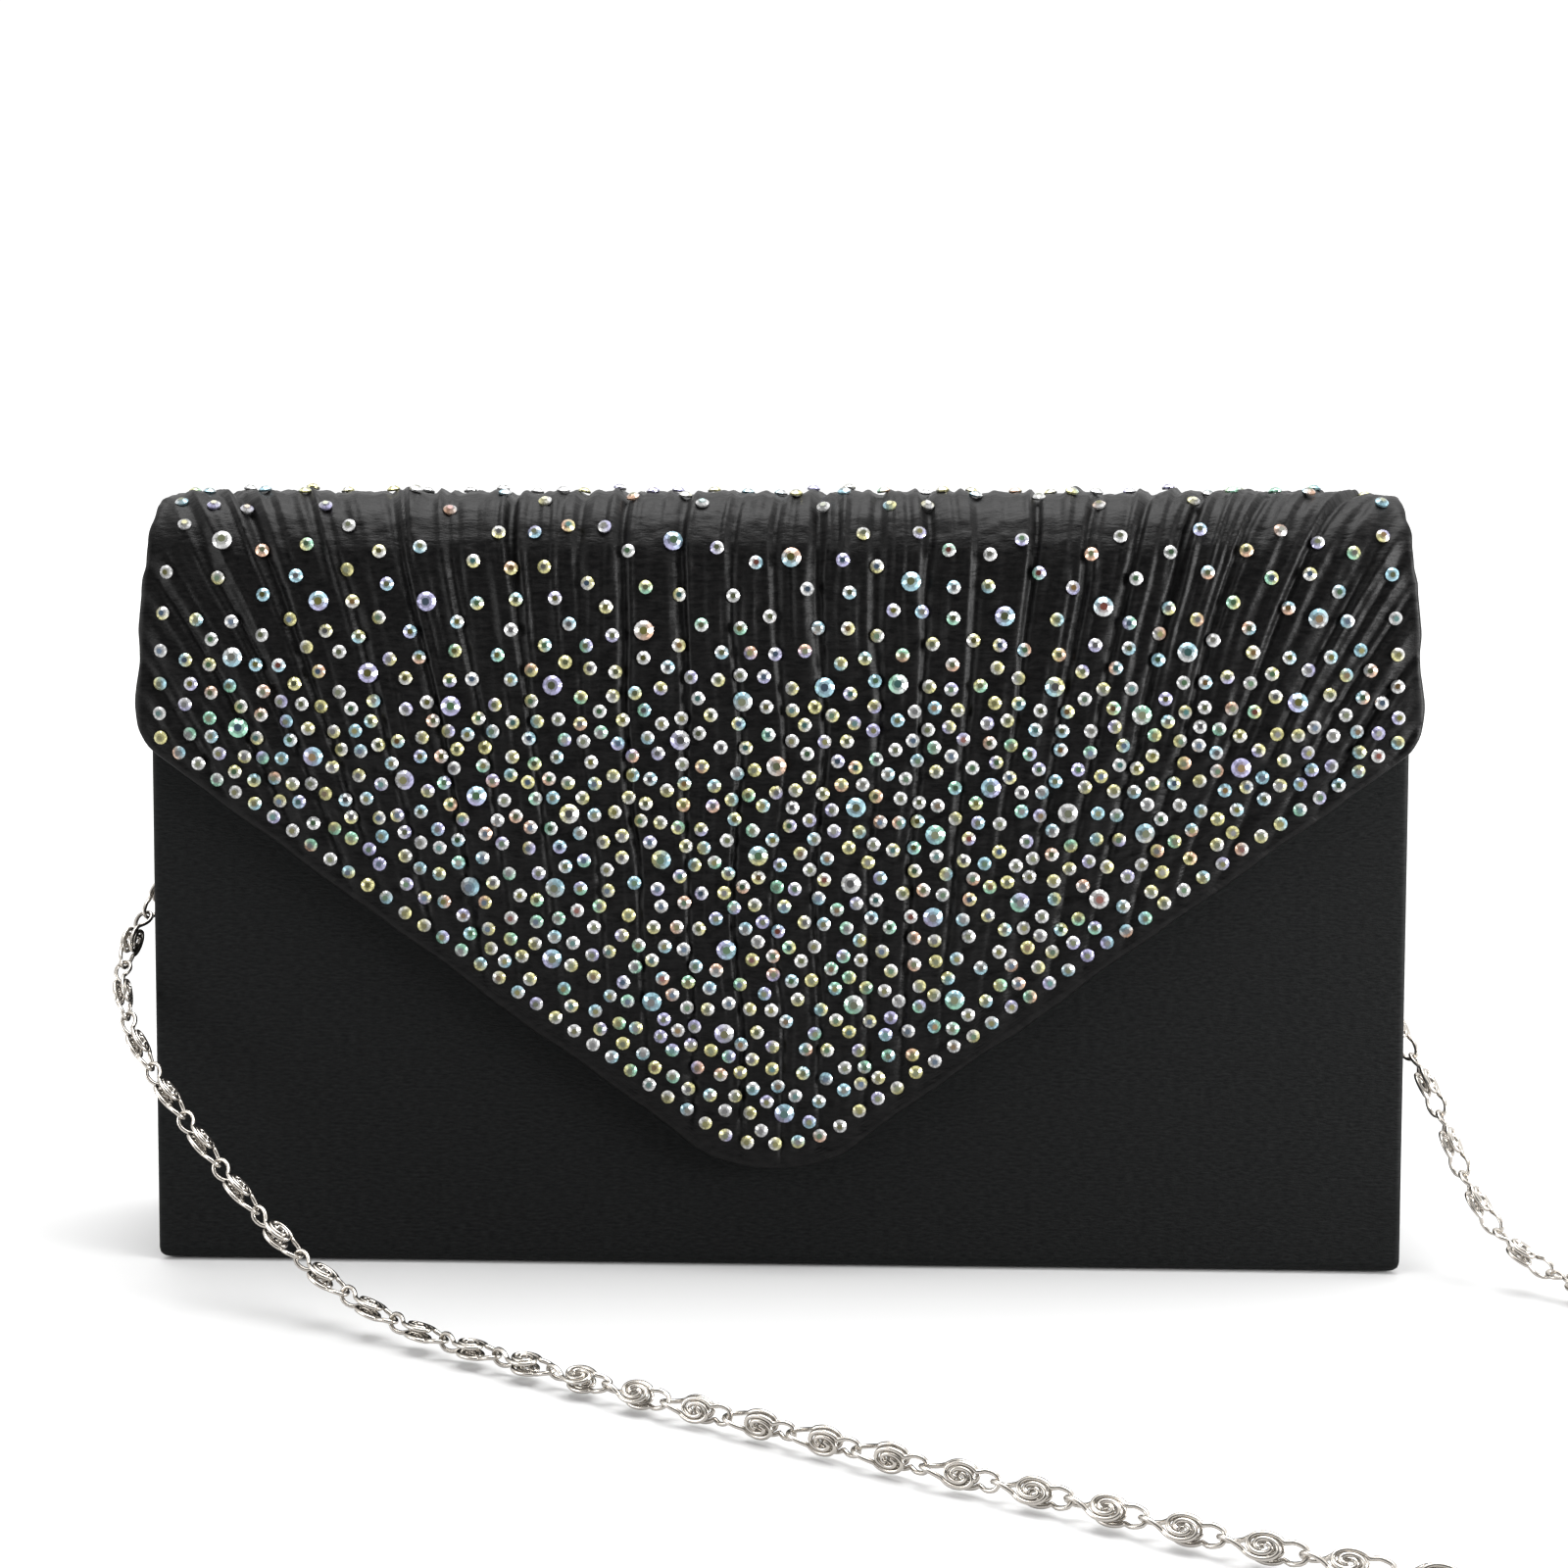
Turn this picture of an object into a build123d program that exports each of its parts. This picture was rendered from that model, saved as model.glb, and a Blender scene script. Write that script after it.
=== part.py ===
from build123d import *
from math import atan2, cos, degrees, hypot, pi, radians, sin, sqrt, tan
from random import Random
import os

# Evening bag: a boarded satin envelope clutch with a pleated, stone-set flap and a chain strap.
# Frame: origin at the centre of the base, +X to the right seen from the front, front facing -Y, +Z up.
# All sizes are in millimetres.

# ---- driving dimensions ----
BODY_W = 214.0          # width of the front and back walls
BODY_D = 42.0           # depth at the base
BAG_H = 131.5           # height of the closed bag over the flap's cloth
LEAN = 3.6              # degrees that each wall leans inwards
WALL_LOW = 0.9          # lower edge of the walls, measured up the wall
WALL_TOP = 121.0        # upper edge of the front wall, measured up the wall
BACK_TOP = 118.5        # upper edge of the back wall's board, measured up the wall
COVER_T = 0.5           # satin with its backing, on the walls
BOARD_T = 1.6           # grey board in the walls
LINING_T = 0.5          # lining with its backing
WALL_CORNER_R = 2.0
INNER_CORNER_R = 1.6
LAYER_STEP = 1.2        # how much smaller a layer is than the one outside it
BASE_COVER_T = 0.6
BASE_SIDE = 1.5         # from the walls' side edge in to the base's
BASE_EASE = 0.5         # from the base's board to the linings and the feet of the sides

FLAP_GAP = 2.2          # between the front wall and the flap's lining
PLEAT_T = 0.8           # gathered satin of the flap, taken flat
FLAP_BOARD_T = 1.2
FLAP_LINING_T = 0.4
FRONT_FOLD_R = 11.5     # outer radius of the flap's front fold
BACK_FOLD_R = 9.0       # outer radius of the fold along the back edge
FOLD_CLEAR = 0.9        # half the clear angle, in degrees, between two bodies in a fold

FLAP_W_TOP = 209.2      # width of the flap along the top
FLAP_W_MID = 214.8      # width at half of its straight side
FLAP_W_LOW = 216.4      # width at the corners where the point begins
FLAP_CORNER_Z = 90.5    # height of those corners
FLAP_APEX_Z = 12.4      # height where the two slanted edges would meet
FLAP_CORNER_R = 5.0
FLAP_TIP_R = 25.0

GUSSET_T = 1.0
GUSSET_TOP = 117.0
GUSSET_IN_TOP = 16.5    # how far the side folds in at its top
GUSSET_IN_LOW = 1.5     # and at its foot
GUSSET_X = 106.2        # outer edge of the side
GUSSET_LOW = 3.2
GUSSET_CLEAR = 0.35     # to the linings of both walls
GUSSET_FOLD_T = 1.3     # thickness across the fold

POCKET_W = 124.0        # the inner pocket, on the back wall's lining
POCKET_LOW = 26.0
POCKET_H = 68.0
POCKET_T = 0.5
POCKET_SEAM = 3.0
POCKET_EASE = 0.3
BINDING_H = 5.0
BINDING_T = 0.4

SNAP_Z = 36.0           # height of the magnetic snap, measured up the wall
SNAP_R = 7.0
SNAP_SOCKET_T = 1.3
SNAP_HOLE_R = 3.3
SNAP_POST_R = 2.7
SNAP_PLATE_T = 0.5
SNAP_POST_REACH = 0.9   # how far the post stands out of its plate
SNAP_CHAMFER = 0.35
STUD_R = 6.6

RING_X = 101.0          # distance of both rings from the middle of the bag
RING_BAR_Z = 112.0      # height of the ring's straight bar
RING_WIRE = 1.6
RING_HALF_W = 5.0
RING_DROP = 6.6         # from the bar's centre line to the bottom of the bow's centre line
RING_STRAIGHT = 1.2     # of the ring's legs, before the bow
RING_ROUND = 0.55
TAB_W = 5.2             # the cloth tab that holds the ring's bar
TAB_T = 1.0
TAB_PLAY = 0.12         # between the tab's loop and the bar
TAB_RISE = 4.2          # how far the tab runs up the side's fold
TAB_CLEAR_TOP = 0.15    # from the fold to the tab, at its top and at its foot
TAB_CLEAR_LOW = 0.55

CLASP_T = 3.6
CLASP_W = 8.0
CLASP_OPEN_W = 4.8
CLASP_SPAN = 5.0        # between the centres of the clasp's two round ends
CLASP_HANG = 3.1        # from the ring's bow to the clasp's centre
CLASP_SHIFT = -0.5      # from the clasp's centre to the middle of its loop
CLASP_ROUND = 0.6
GATE_X = 3.4            # the gap in the loop that the lever closes
GATE_Z = 0.15
GATE_W = 2.4
GATE_H = 4.9
NECK_W = 2.6
NECK_H = 2.4
NECK_RISE = 1.9         # from the eye's centre to the neck's
EYE_DROP = 9.5          # from the clasp's centre to its eye's
EYE_R = 2.0
EYE_HOLE_R = 1.0
LEVER_T = 1.6
LEVER_PIVOT_X = 3.2     # across and up from the clasp's centre
LEVER_PIVOT_Z = -2.6
LEVER_ROOM_R = 1.35     # the recess round the lever's root, the root and its pin
LEVER_ROOT_R = 1.05
LEVER_HOLE_R = 0.46
LEVER_PIN_R = 0.4
LEVER_SIDE = 0.3        # beside the lever, in its recess
LEVER_W = 1.3
LEVER_H = 4.6
LEVER_Z = -0.25
THUMB_X = 4.2
THUMB_Z = 1.1
THUMB_W = 1.2
THUMB_H = 1.4
PIN_SHORT = 0.2         # from the clasp's face to the pin's end

JUMP_R = 2.6
JUMP_WIRE = 1.1
JUMP_HANG = 0.35        # from the eye's centre to the top of the ring's centre line
CHAIN_GAP = 0.02

CHAIN_D = 5.0           # mean width of the chain's links
FLOOR = 2.6             # height of the chain's centre line where it lies down
COIL_X, COIL_Y = 158.0, -95.0
COIL_OUT_R = 31.6
COIL_IN_R = 20.4
COIL_H = 10.6
COIL_ROUND = 2.2

STONE_R = 1.15          # small stones
STONE_H = 0.85
BIG_STONE_R = 1.65      # large stones
BIG_STONE_H = 1.15
TABLE_SHARE = 0.55      # table radius as a share of the stone's radius
GLUE = 0.05             # the adhesive under a stone
EDGE_BAND = 4.2         # from the flap's upright edge to the centres of the row along it
EDGE_BAND_CORNER = 3.0  # from the slanted edge to that row, at the corner
EDGE_BAND_TIP = 4.4     # and at the point
EDGE_PITCH = 3.9        # between the row's stones on the slanted edge
EDGE_PITCH_TOP = 8.4    # and at the top of the upright edge
EDGE_DROP = 4.0         # from the top of the bag to the first stone of that row
ROW_WANDER = 0.25       # how unevenly that row is set
GAP_TOP = 5.6           # least distance between small stones near the top
GAP_POINT = 2.95        # and over the point
GAP_START = 16.0        # along the cloth: where the stones begin to close up
GAP_REACH = 38.0
BIG_GAP_TOP = 15.0      # least distance between large stones near the top
BIG_GAP = 11.5          # and lower down
BIG_GAP_FROM = 40.0
BIG_MOST = 58
BIG_CHANCE = 0.35
BIG_MARGIN = 3.4        # from the edge row in to the large stones
SMALL_MARGIN = 0.6
MARGIN_RISE = 1.2       # height over the slanted edge for each millimetre of margin
FOLD_MARGIN = 1.4       # from the line where the flap's body begins to a stone's centre
BIG_FOLD_MARGIN = 2.0

# ---- derived geometry ----
SLOPE = tan(radians(LEAN))
UPRIGHT = cos(radians(LEAN))
FRONT = Plane(origin=(0, -BODY_D / 2, 0), x_dir=(1, 0, 0), z_dir=(0, -UPRIGHT, SLOPE * UPRIGHT))
BACK = Plane(origin=(0, BODY_D / 2, 0), x_dir=(-1, 0, 0), z_dir=(0, UPRIGHT, SLOPE * UPRIGHT))
FLAP_T = PLEAT_T + FLAP_BOARD_T + FLAP_LINING_T
FLAP_OUT = FLAP_GAP + FLAP_T            # the flap's face, ahead of the front wall's face


def wall_y(height, outward):
    """Distance from the middle plane to a layer of a leaning wall, at a height."""
    return BODY_D / 2 - height * SLOPE + outward / UPRIGHT


FRONT_FOLD_Z = BAG_H - FRONT_FOLD_R
FRONT_FOLD_Y = -wall_y(FRONT_FOLD_Z, FLAP_OUT) + FRONT_FOLD_R / UPRIGHT
BACK_FOLD_Z = BAG_H - BACK_FOLD_R
BACK_FOLD_Y = wall_y(BACK_FOLD_Z, 0) - BACK_FOLD_R / UPRIGHT
MID_TOP_Y = (FRONT_FOLD_Y + BACK_FOLD_Y) / 2

# A quarter fold keeps its cloth's length when it turns about a point pi/4 of the way to its corner.
FRONT_PIVOT = (
    FRONT_FOLD_Y + pi / 4 * (-wall_y(BAG_H, FLAP_OUT) - FRONT_FOLD_Y),
    FRONT_FOLD_Z + pi / 4 * FRONT_FOLD_R,
)
BACK_PIVOT = (
    BACK_FOLD_Y + pi / 4 * (wall_y(BAG_H, 0) - BACK_FOLD_Y),
    BACK_FOLD_Z + pi / 4 * BACK_FOLD_R,
)


def arc_in_fold(centre_y, centre_z, radius, start, end):
    """An arc of a fold, in the side plane; angles in degrees, 0 to the back and 90 up."""
    return CenterArc((centre_y, centre_z), radius, start, end - start)


def draw_spine_layer(outer, inner):
    """Outline of one layer over the top of the bag, between two depths under its skin."""
    back_out = arc_in_fold(BACK_FOLD_Y, BACK_FOLD_Z, BACK_FOLD_R - outer, 45 + FOLD_CLEAR, 90)
    front_out = arc_in_fold(FRONT_FOLD_Y, FRONT_FOLD_Z, FRONT_FOLD_R - outer, 90, 135 - FOLD_CLEAR)
    back_in = arc_in_fold(BACK_FOLD_Y, BACK_FOLD_Z, BACK_FOLD_R - inner, 45 + FOLD_CLEAR, 90)
    front_in = arc_in_fold(FRONT_FOLD_Y, FRONT_FOLD_Z, FRONT_FOLD_R - inner, 90, 135 - FOLD_CLEAR)
    Line(back_out @ 1, front_out @ 0)
    Line(front_out @ 1, front_in @ 1)
    Line(front_in @ 0, back_in @ 1)
    Line(back_in @ 0, back_out @ 0)


def draw_spine_board(outer, inner):
    """Outline of the board over the top of the bag, which is flat and stops at both folds."""
    Polyline(
        (FRONT_FOLD_Y, BAG_H - outer),
        (BACK_FOLD_Y, BAG_H - outer),
        (BACK_FOLD_Y, BAG_H - inner),
        (FRONT_FOLD_Y, BAG_H - inner),
        close=True,
    )


def draw_flap_board(outer, inner, low):
    """Outline of the board in the flap's front, which is flat and stops under the fold."""
    Polyline(
        (-wall_y(FRONT_FOLD_Z, FLAP_OUT - outer), FRONT_FOLD_Z),
        (-wall_y(low, FLAP_OUT - outer), low),
        (-wall_y(low, FLAP_OUT - inner), low),
        (-wall_y(FRONT_FOLD_Z, FLAP_OUT - inner), FRONT_FOLD_Z),
        close=True,
    )


def draw_flap_layer(outer, inner, low):
    """Outline of one layer of the flap's front, between two depths under its skin."""
    turn_end = 180 - LEAN
    out = arc_in_fold(FRONT_FOLD_Y, FRONT_FOLD_Z, FRONT_FOLD_R - outer, 135 + FOLD_CLEAR, turn_end)
    inn = arc_in_fold(FRONT_FOLD_Y, FRONT_FOLD_Z, FRONT_FOLD_R - inner, 135 + FOLD_CLEAR, turn_end)
    Line(inn @ 0, out @ 0)
    Polyline(out @ 1, (-wall_y(low, FLAP_OUT - outer), low), (-wall_y(low, FLAP_OUT - inner), low), inn @ 1)


def draw_flap_outline(inset):
    """Half of the flap's outline seen from the front: side, corner and slanted edge down to the point."""
    slant = (FLAP_CORNER_Z - FLAP_APEX_Z) / (FLAP_W_LOW / 2)
    drop = inset * sqrt(1 + slant * slant)
    low_x = FLAP_W_LOW / 2 - inset
    low_z = FLAP_APEX_Z + drop + slant * low_x
    top_x = FLAP_W_TOP / 2 - inset
    mid_x = FLAP_W_MID / 2 - inset
    top_z = BAG_H + 2
    side = ThreePointArc((top_x, top_z), (mid_x, (top_z + low_z) / 2), (low_x, low_z))
    Polyline((low_x, low_z), (0, FLAP_APEX_Z + drop), (0, top_z), side @ 0)


def round_side_corner(sketch, inset):
    """Round the corner where the flap's side meets its slanted edge."""
    side_corner = sketch.vertices().sort_by(Axis.X)[-1]
    fillet(side_corner, radius=FLAP_CORNER_R - inset / 2)


def flap_edge_height(x):
    """Height of the flap's slanted edge and rounded point at a distance from the middle."""
    slant = (FLAP_CORNER_Z - FLAP_APEX_Z) / (FLAP_W_LOW / 2)
    if x > FLAP_TIP_R * sin(atan2(slant, 1)):
        return FLAP_APEX_Z + slant * x
    return FLAP_APEX_Z + FLAP_TIP_R * sqrt(1 + slant * slant) - sqrt(FLAP_TIP_R ** 2 - x * x)


def flap_half_width(height):
    """Half of the flap's width at a height, without its rounded corners."""
    slant = (FLAP_CORNER_Z - FLAP_APEX_Z) / (FLAP_W_LOW / 2)
    if height < FLAP_CORNER_Z:
        return max((height - FLAP_APEX_Z) / slant, 0.0)
    share = (height - FLAP_CORNER_Z) / (BAG_H + 2 - FLAP_CORNER_Z)
    bow = 4 * share * (1 - share) * (FLAP_W_MID - (FLAP_W_TOP + FLAP_W_LOW) / 2) / 2
    return (FLAP_W_LOW + share * (FLAP_W_TOP - FLAP_W_LOW)) / 2 + bow


os.makedirs("parts", exist_ok=True)


def keep(builder, name):
    """Label a finished piece and write it."""
    builder.part.label = name
    export_step(builder.part, f"parts/{name}.step")


# ---- front wall ----
WALL_H = WALL_TOP - WALL_LOW

with BuildPart() as front_cover:
    with BuildSketch(FRONT):
        with Locations((0, WALL_LOW + WALL_H / 2)):
            RectangleRounded(BODY_W, WALL_H, WALL_CORNER_R)
    extrude(amount=-COVER_T)
keep(front_cover, "front_cover")

with BuildPart() as front_board:
    with BuildSketch(FRONT.offset(-COVER_T)):
        with Locations((0, WALL_LOW + WALL_H / 2)):
            RectangleRounded(BODY_W - LAYER_STEP, WALL_H - LAYER_STEP, INNER_CORNER_R)
    extrude(amount=-BOARD_T)
keep(front_board, "front_board")

with BuildPart() as front_lining:
    with BuildSketch(FRONT.offset(-COVER_T - BOARD_T)):
        with Locations((0, WALL_LOW + WALL_H / 2)):
            RectangleRounded(BODY_W - 2 * LAYER_STEP, WALL_H - 2 * LAYER_STEP, INNER_CORNER_R)
    extrude(amount=-LINING_T)
keep(front_lining, "front_lining")

with BuildPart() as snap_socket:
    with BuildSketch(FRONT):
        with Locations((0, SNAP_Z)):
            Circle(SNAP_R)
            Circle(SNAP_HOLE_R, mode=Mode.SUBTRACT)
    extrude(amount=SNAP_SOCKET_T)
    rim = snap_socket.edges().filter_by(GeomType.CIRCLE).sort_by(Axis.Y)[:2]
    chamfer(rim, length=SNAP_CHAMFER)
keep(snap_socket, "snap_socket")

# ---- back wall and base ----
BACK_H = BACK_TOP - WALL_LOW

with BuildPart() as back_cover:
    with BuildSketch(Plane.YZ):
        with BuildLine():
            out = arc_in_fold(BACK_FOLD_Y, BACK_FOLD_Z, BACK_FOLD_R, LEAN, 45 - FOLD_CLEAR)
            inn = arc_in_fold(BACK_FOLD_Y, BACK_FOLD_Z, BACK_FOLD_R - COVER_T, LEAN, 45 - FOLD_CLEAR)
            Line(out @ 1, inn @ 1)
            Polyline(
                out @ 0,
                (wall_y(WALL_LOW, 0), WALL_LOW),
                (wall_y(WALL_LOW, -COVER_T), WALL_LOW),
                inn @ 0,
            )
        make_face()
    extrude(amount=BODY_W / 2, both=True)
keep(back_cover, "back_cover")

with BuildPart() as back_board:
    with BuildSketch(BACK.offset(-COVER_T)):
        with Locations((0, WALL_LOW + BACK_H / 2)):
            RectangleRounded(BODY_W - LAYER_STEP, BACK_H - LAYER_STEP, INNER_CORNER_R)
    extrude(amount=-BOARD_T)
keep(back_board, "back_board")

with BuildPart() as back_lining:
    with BuildSketch(BACK.offset(-COVER_T - BOARD_T)):
        with Locations((0, WALL_LOW + BACK_H / 2)):
            RectangleRounded(BODY_W - 2 * LAYER_STEP, BACK_H - 2 * LAYER_STEP, INNER_CORNER_R)
    extrude(amount=-LINING_T)
keep(back_lining, "back_lining")

LINING_FACE = COVER_T + BOARD_T + LINING_T
BASE_W = BODY_W - 2 * BASE_SIDE
BASE_BOARD_W = 2 * (GUSSET_X - GUSSET_IN_LOW - GUSSET_T - BASE_EASE)
BASE_BOARD_D = BODY_D - 2 * (LINING_FACE + BASE_EASE)

with BuildPart() as base_cover:
    with BuildSketch():
        RectangleRounded(BASE_W, BODY_D - BASE_COVER_T, WALL_CORNER_R)
    extrude(amount=BASE_COVER_T)
keep(base_cover, "base_cover")

with BuildPart() as base_board:
    with BuildSketch(Plane.XY.offset(BASE_COVER_T)):
        RectangleRounded(BASE_BOARD_W, BASE_BOARD_D, INNER_CORNER_R)
    extrude(amount=BOARD_T)
keep(base_board, "base_board")

with BuildPart() as base_lining:
    with BuildSketch(Plane.XY.offset(BASE_COVER_T + BOARD_T)):
        RectangleRounded(BASE_BOARD_W - BASE_EASE, BASE_BOARD_D - BASE_EASE, INNER_CORNER_R)
    extrude(amount=LINING_T)
keep(base_lining, "base_lining")

# ---- inner pocket on the back wall ----
with BuildPart() as inner_pocket:
    with BuildSketch(BACK.offset(-LINING_FACE)):
        with Locations((0, POCKET_LOW + POCKET_H / 2)):
            Rectangle(POCKET_W, POCKET_H)
        with Locations((0, POCKET_LOW + POCKET_SEAM + POCKET_H / 2)):
            Rectangle(POCKET_W - 2 * POCKET_SEAM, POCKET_H, mode=Mode.SUBTRACT)
        with Locations((0, POCKET_LOW + POCKET_H - BINDING_H / 2)):
            Rectangle(POCKET_W, BINDING_H, mode=Mode.SUBTRACT)
    extrude(amount=-POCKET_EASE - BINDING_T)
    with BuildSketch(BACK.offset(-LINING_FACE - POCKET_EASE - BINDING_T)):
        with Locations((0, POCKET_LOW + POCKET_H / 2)):
            Rectangle(POCKET_W, POCKET_H)
    extrude(amount=-POCKET_T)
keep(inner_pocket, "inner_pocket")

with BuildPart() as pocket_binding:
    pocket_top = POCKET_LOW + POCKET_H
    near = LINING_FACE + POCKET_EASE
    far = near + 2 * BINDING_T + POCKET_T
    with BuildSketch(Plane.YZ):
        with BuildLine():
            Polyline(
                (wall_y(pocket_top - BINDING_H, -near), pocket_top - BINDING_H),
                (wall_y(pocket_top + BINDING_T, -near), pocket_top + BINDING_T),
                (wall_y(pocket_top + BINDING_T, -far), pocket_top + BINDING_T),
                (wall_y(pocket_top - BINDING_H, -far), pocket_top - BINDING_H),
                (wall_y(pocket_top - BINDING_H, -far + BINDING_T), pocket_top - BINDING_H),
                (wall_y(pocket_top, -far + BINDING_T), pocket_top),
                (wall_y(pocket_top, -near - BINDING_T), pocket_top),
                (wall_y(pocket_top - BINDING_H, -near - BINDING_T), pocket_top - BINDING_H),
                close=True,
            )
        make_face()
    extrude(amount=POCKET_W / 2, both=True)
keep(pocket_binding, "pocket_binding")

# ---- sides, rings, clasps ----


def gusset_section(height, fold_in):
    """Outline of the folded side at a height, for the right side of the bag."""
    half = wall_y(height, -LINING_FACE) - GUSSET_CLEAR
    apex = GUSSET_X - fold_in
    return [
        (GUSSET_X, -half),
        (apex, 0),
        (GUSSET_X, half),
        (GUSSET_X - GUSSET_T, half),
        (apex - GUSSET_FOLD_T, 0),
        (GUSSET_X - GUSSET_T, -half),
    ]


def fold_in_at(height):
    """How far the side's fold reaches in at a height."""
    share = (height - GUSSET_LOW) / (GUSSET_TOP - GUSSET_LOW)
    return GUSSET_IN_LOW + share * (GUSSET_IN_TOP - GUSSET_IN_LOW)


def at_side(side, points):
    """Points of the right side, or their mirror image for the left one."""
    return [(side * point[0],) + tuple(point[1:]) for point in points]


RING_BOW_Z = RING_BAR_Z - RING_DROP
CLASP_Z = RING_BOW_Z - CLASP_HANG       # centre of the clasp's body, with the ring's bow in its hook
EYE_Z = CLASP_Z - EYE_DROP
JUMP_Z = EYE_Z - JUMP_HANG - JUMP_R
CHAIN_TOP_Z = JUMP_Z - JUMP_R - JUMP_WIRE / 2 - CHAIN_GAP
TAB_OUT_R = RING_WIRE / 2 + TAB_T
TAB_IN_R = RING_WIRE / 2 + TAB_PLAY

for side, side_name in ((-1, "left"), (1, "right")):
    with BuildPart() as gusset:
        for height, fold_in in ((GUSSET_LOW, GUSSET_IN_LOW), (GUSSET_TOP, GUSSET_IN_TOP)):
            with BuildSketch(Plane.XY.offset(height)):
                with BuildLine():
                    Polyline(*at_side(side, gusset_section(height, fold_in)), close=True)
                make_face()
        loft(ruled=True)
    keep(gusset, f"{side_name}_gusset")

    pivot = (side * (RING_X + LEVER_PIVOT_X), CLASP_Z + LEVER_PIVOT_Z)
    tab_root = GUSSET_X - fold_in_at(RING_BAR_Z + TAB_RISE / 2)
    with BuildPart() as ring_tab:
        with BuildSketch(Plane.XZ):
            with BuildLine():
                Polyline(
                    *at_side(side, [
                        (tab_root + TAB_CLEAR_TOP, RING_BAR_Z + TAB_RISE),
                        (RING_X, RING_BAR_Z + TAB_OUT_R),
                        (RING_X, RING_BAR_Z - TAB_IN_R),
                        (tab_root + TAB_CLEAR_LOW, RING_BAR_Z + TAB_OUT_R),
                    ]),
                    close=True,
                )
            make_face()
            with Locations((side * RING_X, RING_BAR_Z)):
                Circle(TAB_OUT_R)
                Circle(TAB_IN_R, mode=Mode.SUBTRACT)
        extrude(amount=TAB_W / 2, both=True)
    keep(ring_tab, f"{side_name}_ring_tab")

    with BuildPart() as d_ring:
        with BuildSketch(Plane.YZ.offset(side * RING_X)):
            for grow, how in ((RING_WIRE / 2, Mode.ADD), (-RING_WIRE / 2, Mode.SUBTRACT)):
                with BuildLine():
                    top = Line(
                        (-RING_HALF_W - grow, RING_BAR_Z + grow),
                        (RING_HALF_W + grow, RING_BAR_Z + grow),
                    )
                    bow = ThreePointArc(
                        (RING_HALF_W + grow, RING_BAR_Z - RING_STRAIGHT),
                        (0, RING_BOW_Z - grow),
                        (-RING_HALF_W - grow, RING_BAR_Z - RING_STRAIGHT),
                    )
                    Line(top @ 1, bow @ 0)
                    Line(bow @ 1, top @ 0)
                make_face(mode=how)
        extrude(amount=RING_WIRE / 2, both=True)
        fillet(d_ring.edges().filter_by(Plane.YZ), radius=RING_ROUND)
    keep(d_ring, f"{side_name}_d_ring")

    with BuildPart() as clasp:
        with BuildSketch(Plane.XZ):
            with Locations((side * RING_X, CLASP_Z + CLASP_SHIFT)):
                SlotCenterToCenter(CLASP_SPAN, CLASP_W, rotation=90)
                SlotCenterToCenter(CLASP_SPAN, CLASP_OPEN_W, rotation=90, mode=Mode.SUBTRACT)
            with Locations((side * RING_X, EYE_Z)):
                Circle(EYE_R)
            with Locations((side * RING_X, EYE_Z + NECK_RISE)):
                Rectangle(NECK_W, NECK_H)
            with Locations((side * RING_X, EYE_Z)):
                Circle(EYE_HOLE_R, mode=Mode.SUBTRACT)
            with Locations((side * (RING_X + GATE_X), CLASP_Z + GATE_Z)):
                Rectangle(GATE_W, GATE_H, mode=Mode.SUBTRACT)
        extrude(amount=CLASP_T / 2, both=True)
        fillet(clasp.edges().filter_by(Plane.XZ).group_by(SortBy.LENGTH)[-1], radius=CLASP_ROUND)
        with BuildSketch(Plane.XZ):
            with Locations(pivot):
                Circle(LEVER_ROOM_R)
        extrude(amount=LEVER_T / 2 + LEVER_SIDE, both=True, mode=Mode.SUBTRACT)
        with BuildSketch(Plane.XZ):
            with Locations(pivot):
                Circle(LEVER_PIN_R)
        extrude(amount=CLASP_T / 2 - PIN_SHORT, both=True)
    keep(clasp, f"{side_name}_clasp")

    with BuildPart() as clasp_lever:
        with BuildSketch(Plane.XZ):
            with Locations((side * (RING_X + LEVER_PIVOT_X), CLASP_Z + LEVER_Z)):
                Rectangle(LEVER_W, LEVER_H)
            with Locations((side * (RING_X + THUMB_X), CLASP_Z + THUMB_Z)):
                Rectangle(THUMB_W, THUMB_H)
            with Locations(pivot):
                Circle(LEVER_ROOT_R)
                Circle(LEVER_HOLE_R, mode=Mode.SUBTRACT)
        extrude(amount=LEVER_T / 2, both=True)
    keep(clasp_lever, f"{side_name}_clasp_lever")

    with BuildPart() as jump_ring:
        with BuildSketch(Plane.XY.offset(JUMP_Z)):
            with Locations((side * RING_X, JUMP_R)):
                Circle(JUMP_WIRE / 2)
        revolve(axis=Axis((side * RING_X, 0, JUMP_Z), (1, 0, 0)))
    keep(jump_ring, f"{side_name}_jump_ring")

# ---- top of the bag: the strip between the two folds ----
# The cloth and the lining go round the folds; the boards stop where each fold begins.
for draw, outer, inner, width, layer_name in (
    (draw_spine_layer, 0.0, PLEAT_T, FLAP_W_TOP, "spine_cover"),
    (draw_spine_board, PLEAT_T, PLEAT_T + FLAP_BOARD_T, FLAP_W_TOP - 2 * LAYER_STEP, "spine_board"),
    (draw_spine_layer, PLEAT_T + FLAP_BOARD_T, FLAP_T, FLAP_W_TOP - 1.6, "spine_lining"),
):
    with BuildPart() as spine_layer:
        with BuildSketch(Plane.YZ):
            with BuildLine():
                draw(outer, inner)
            make_face()
        extrude(amount=width / 2, both=True)
    keep(spine_layer, layer_name)

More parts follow.
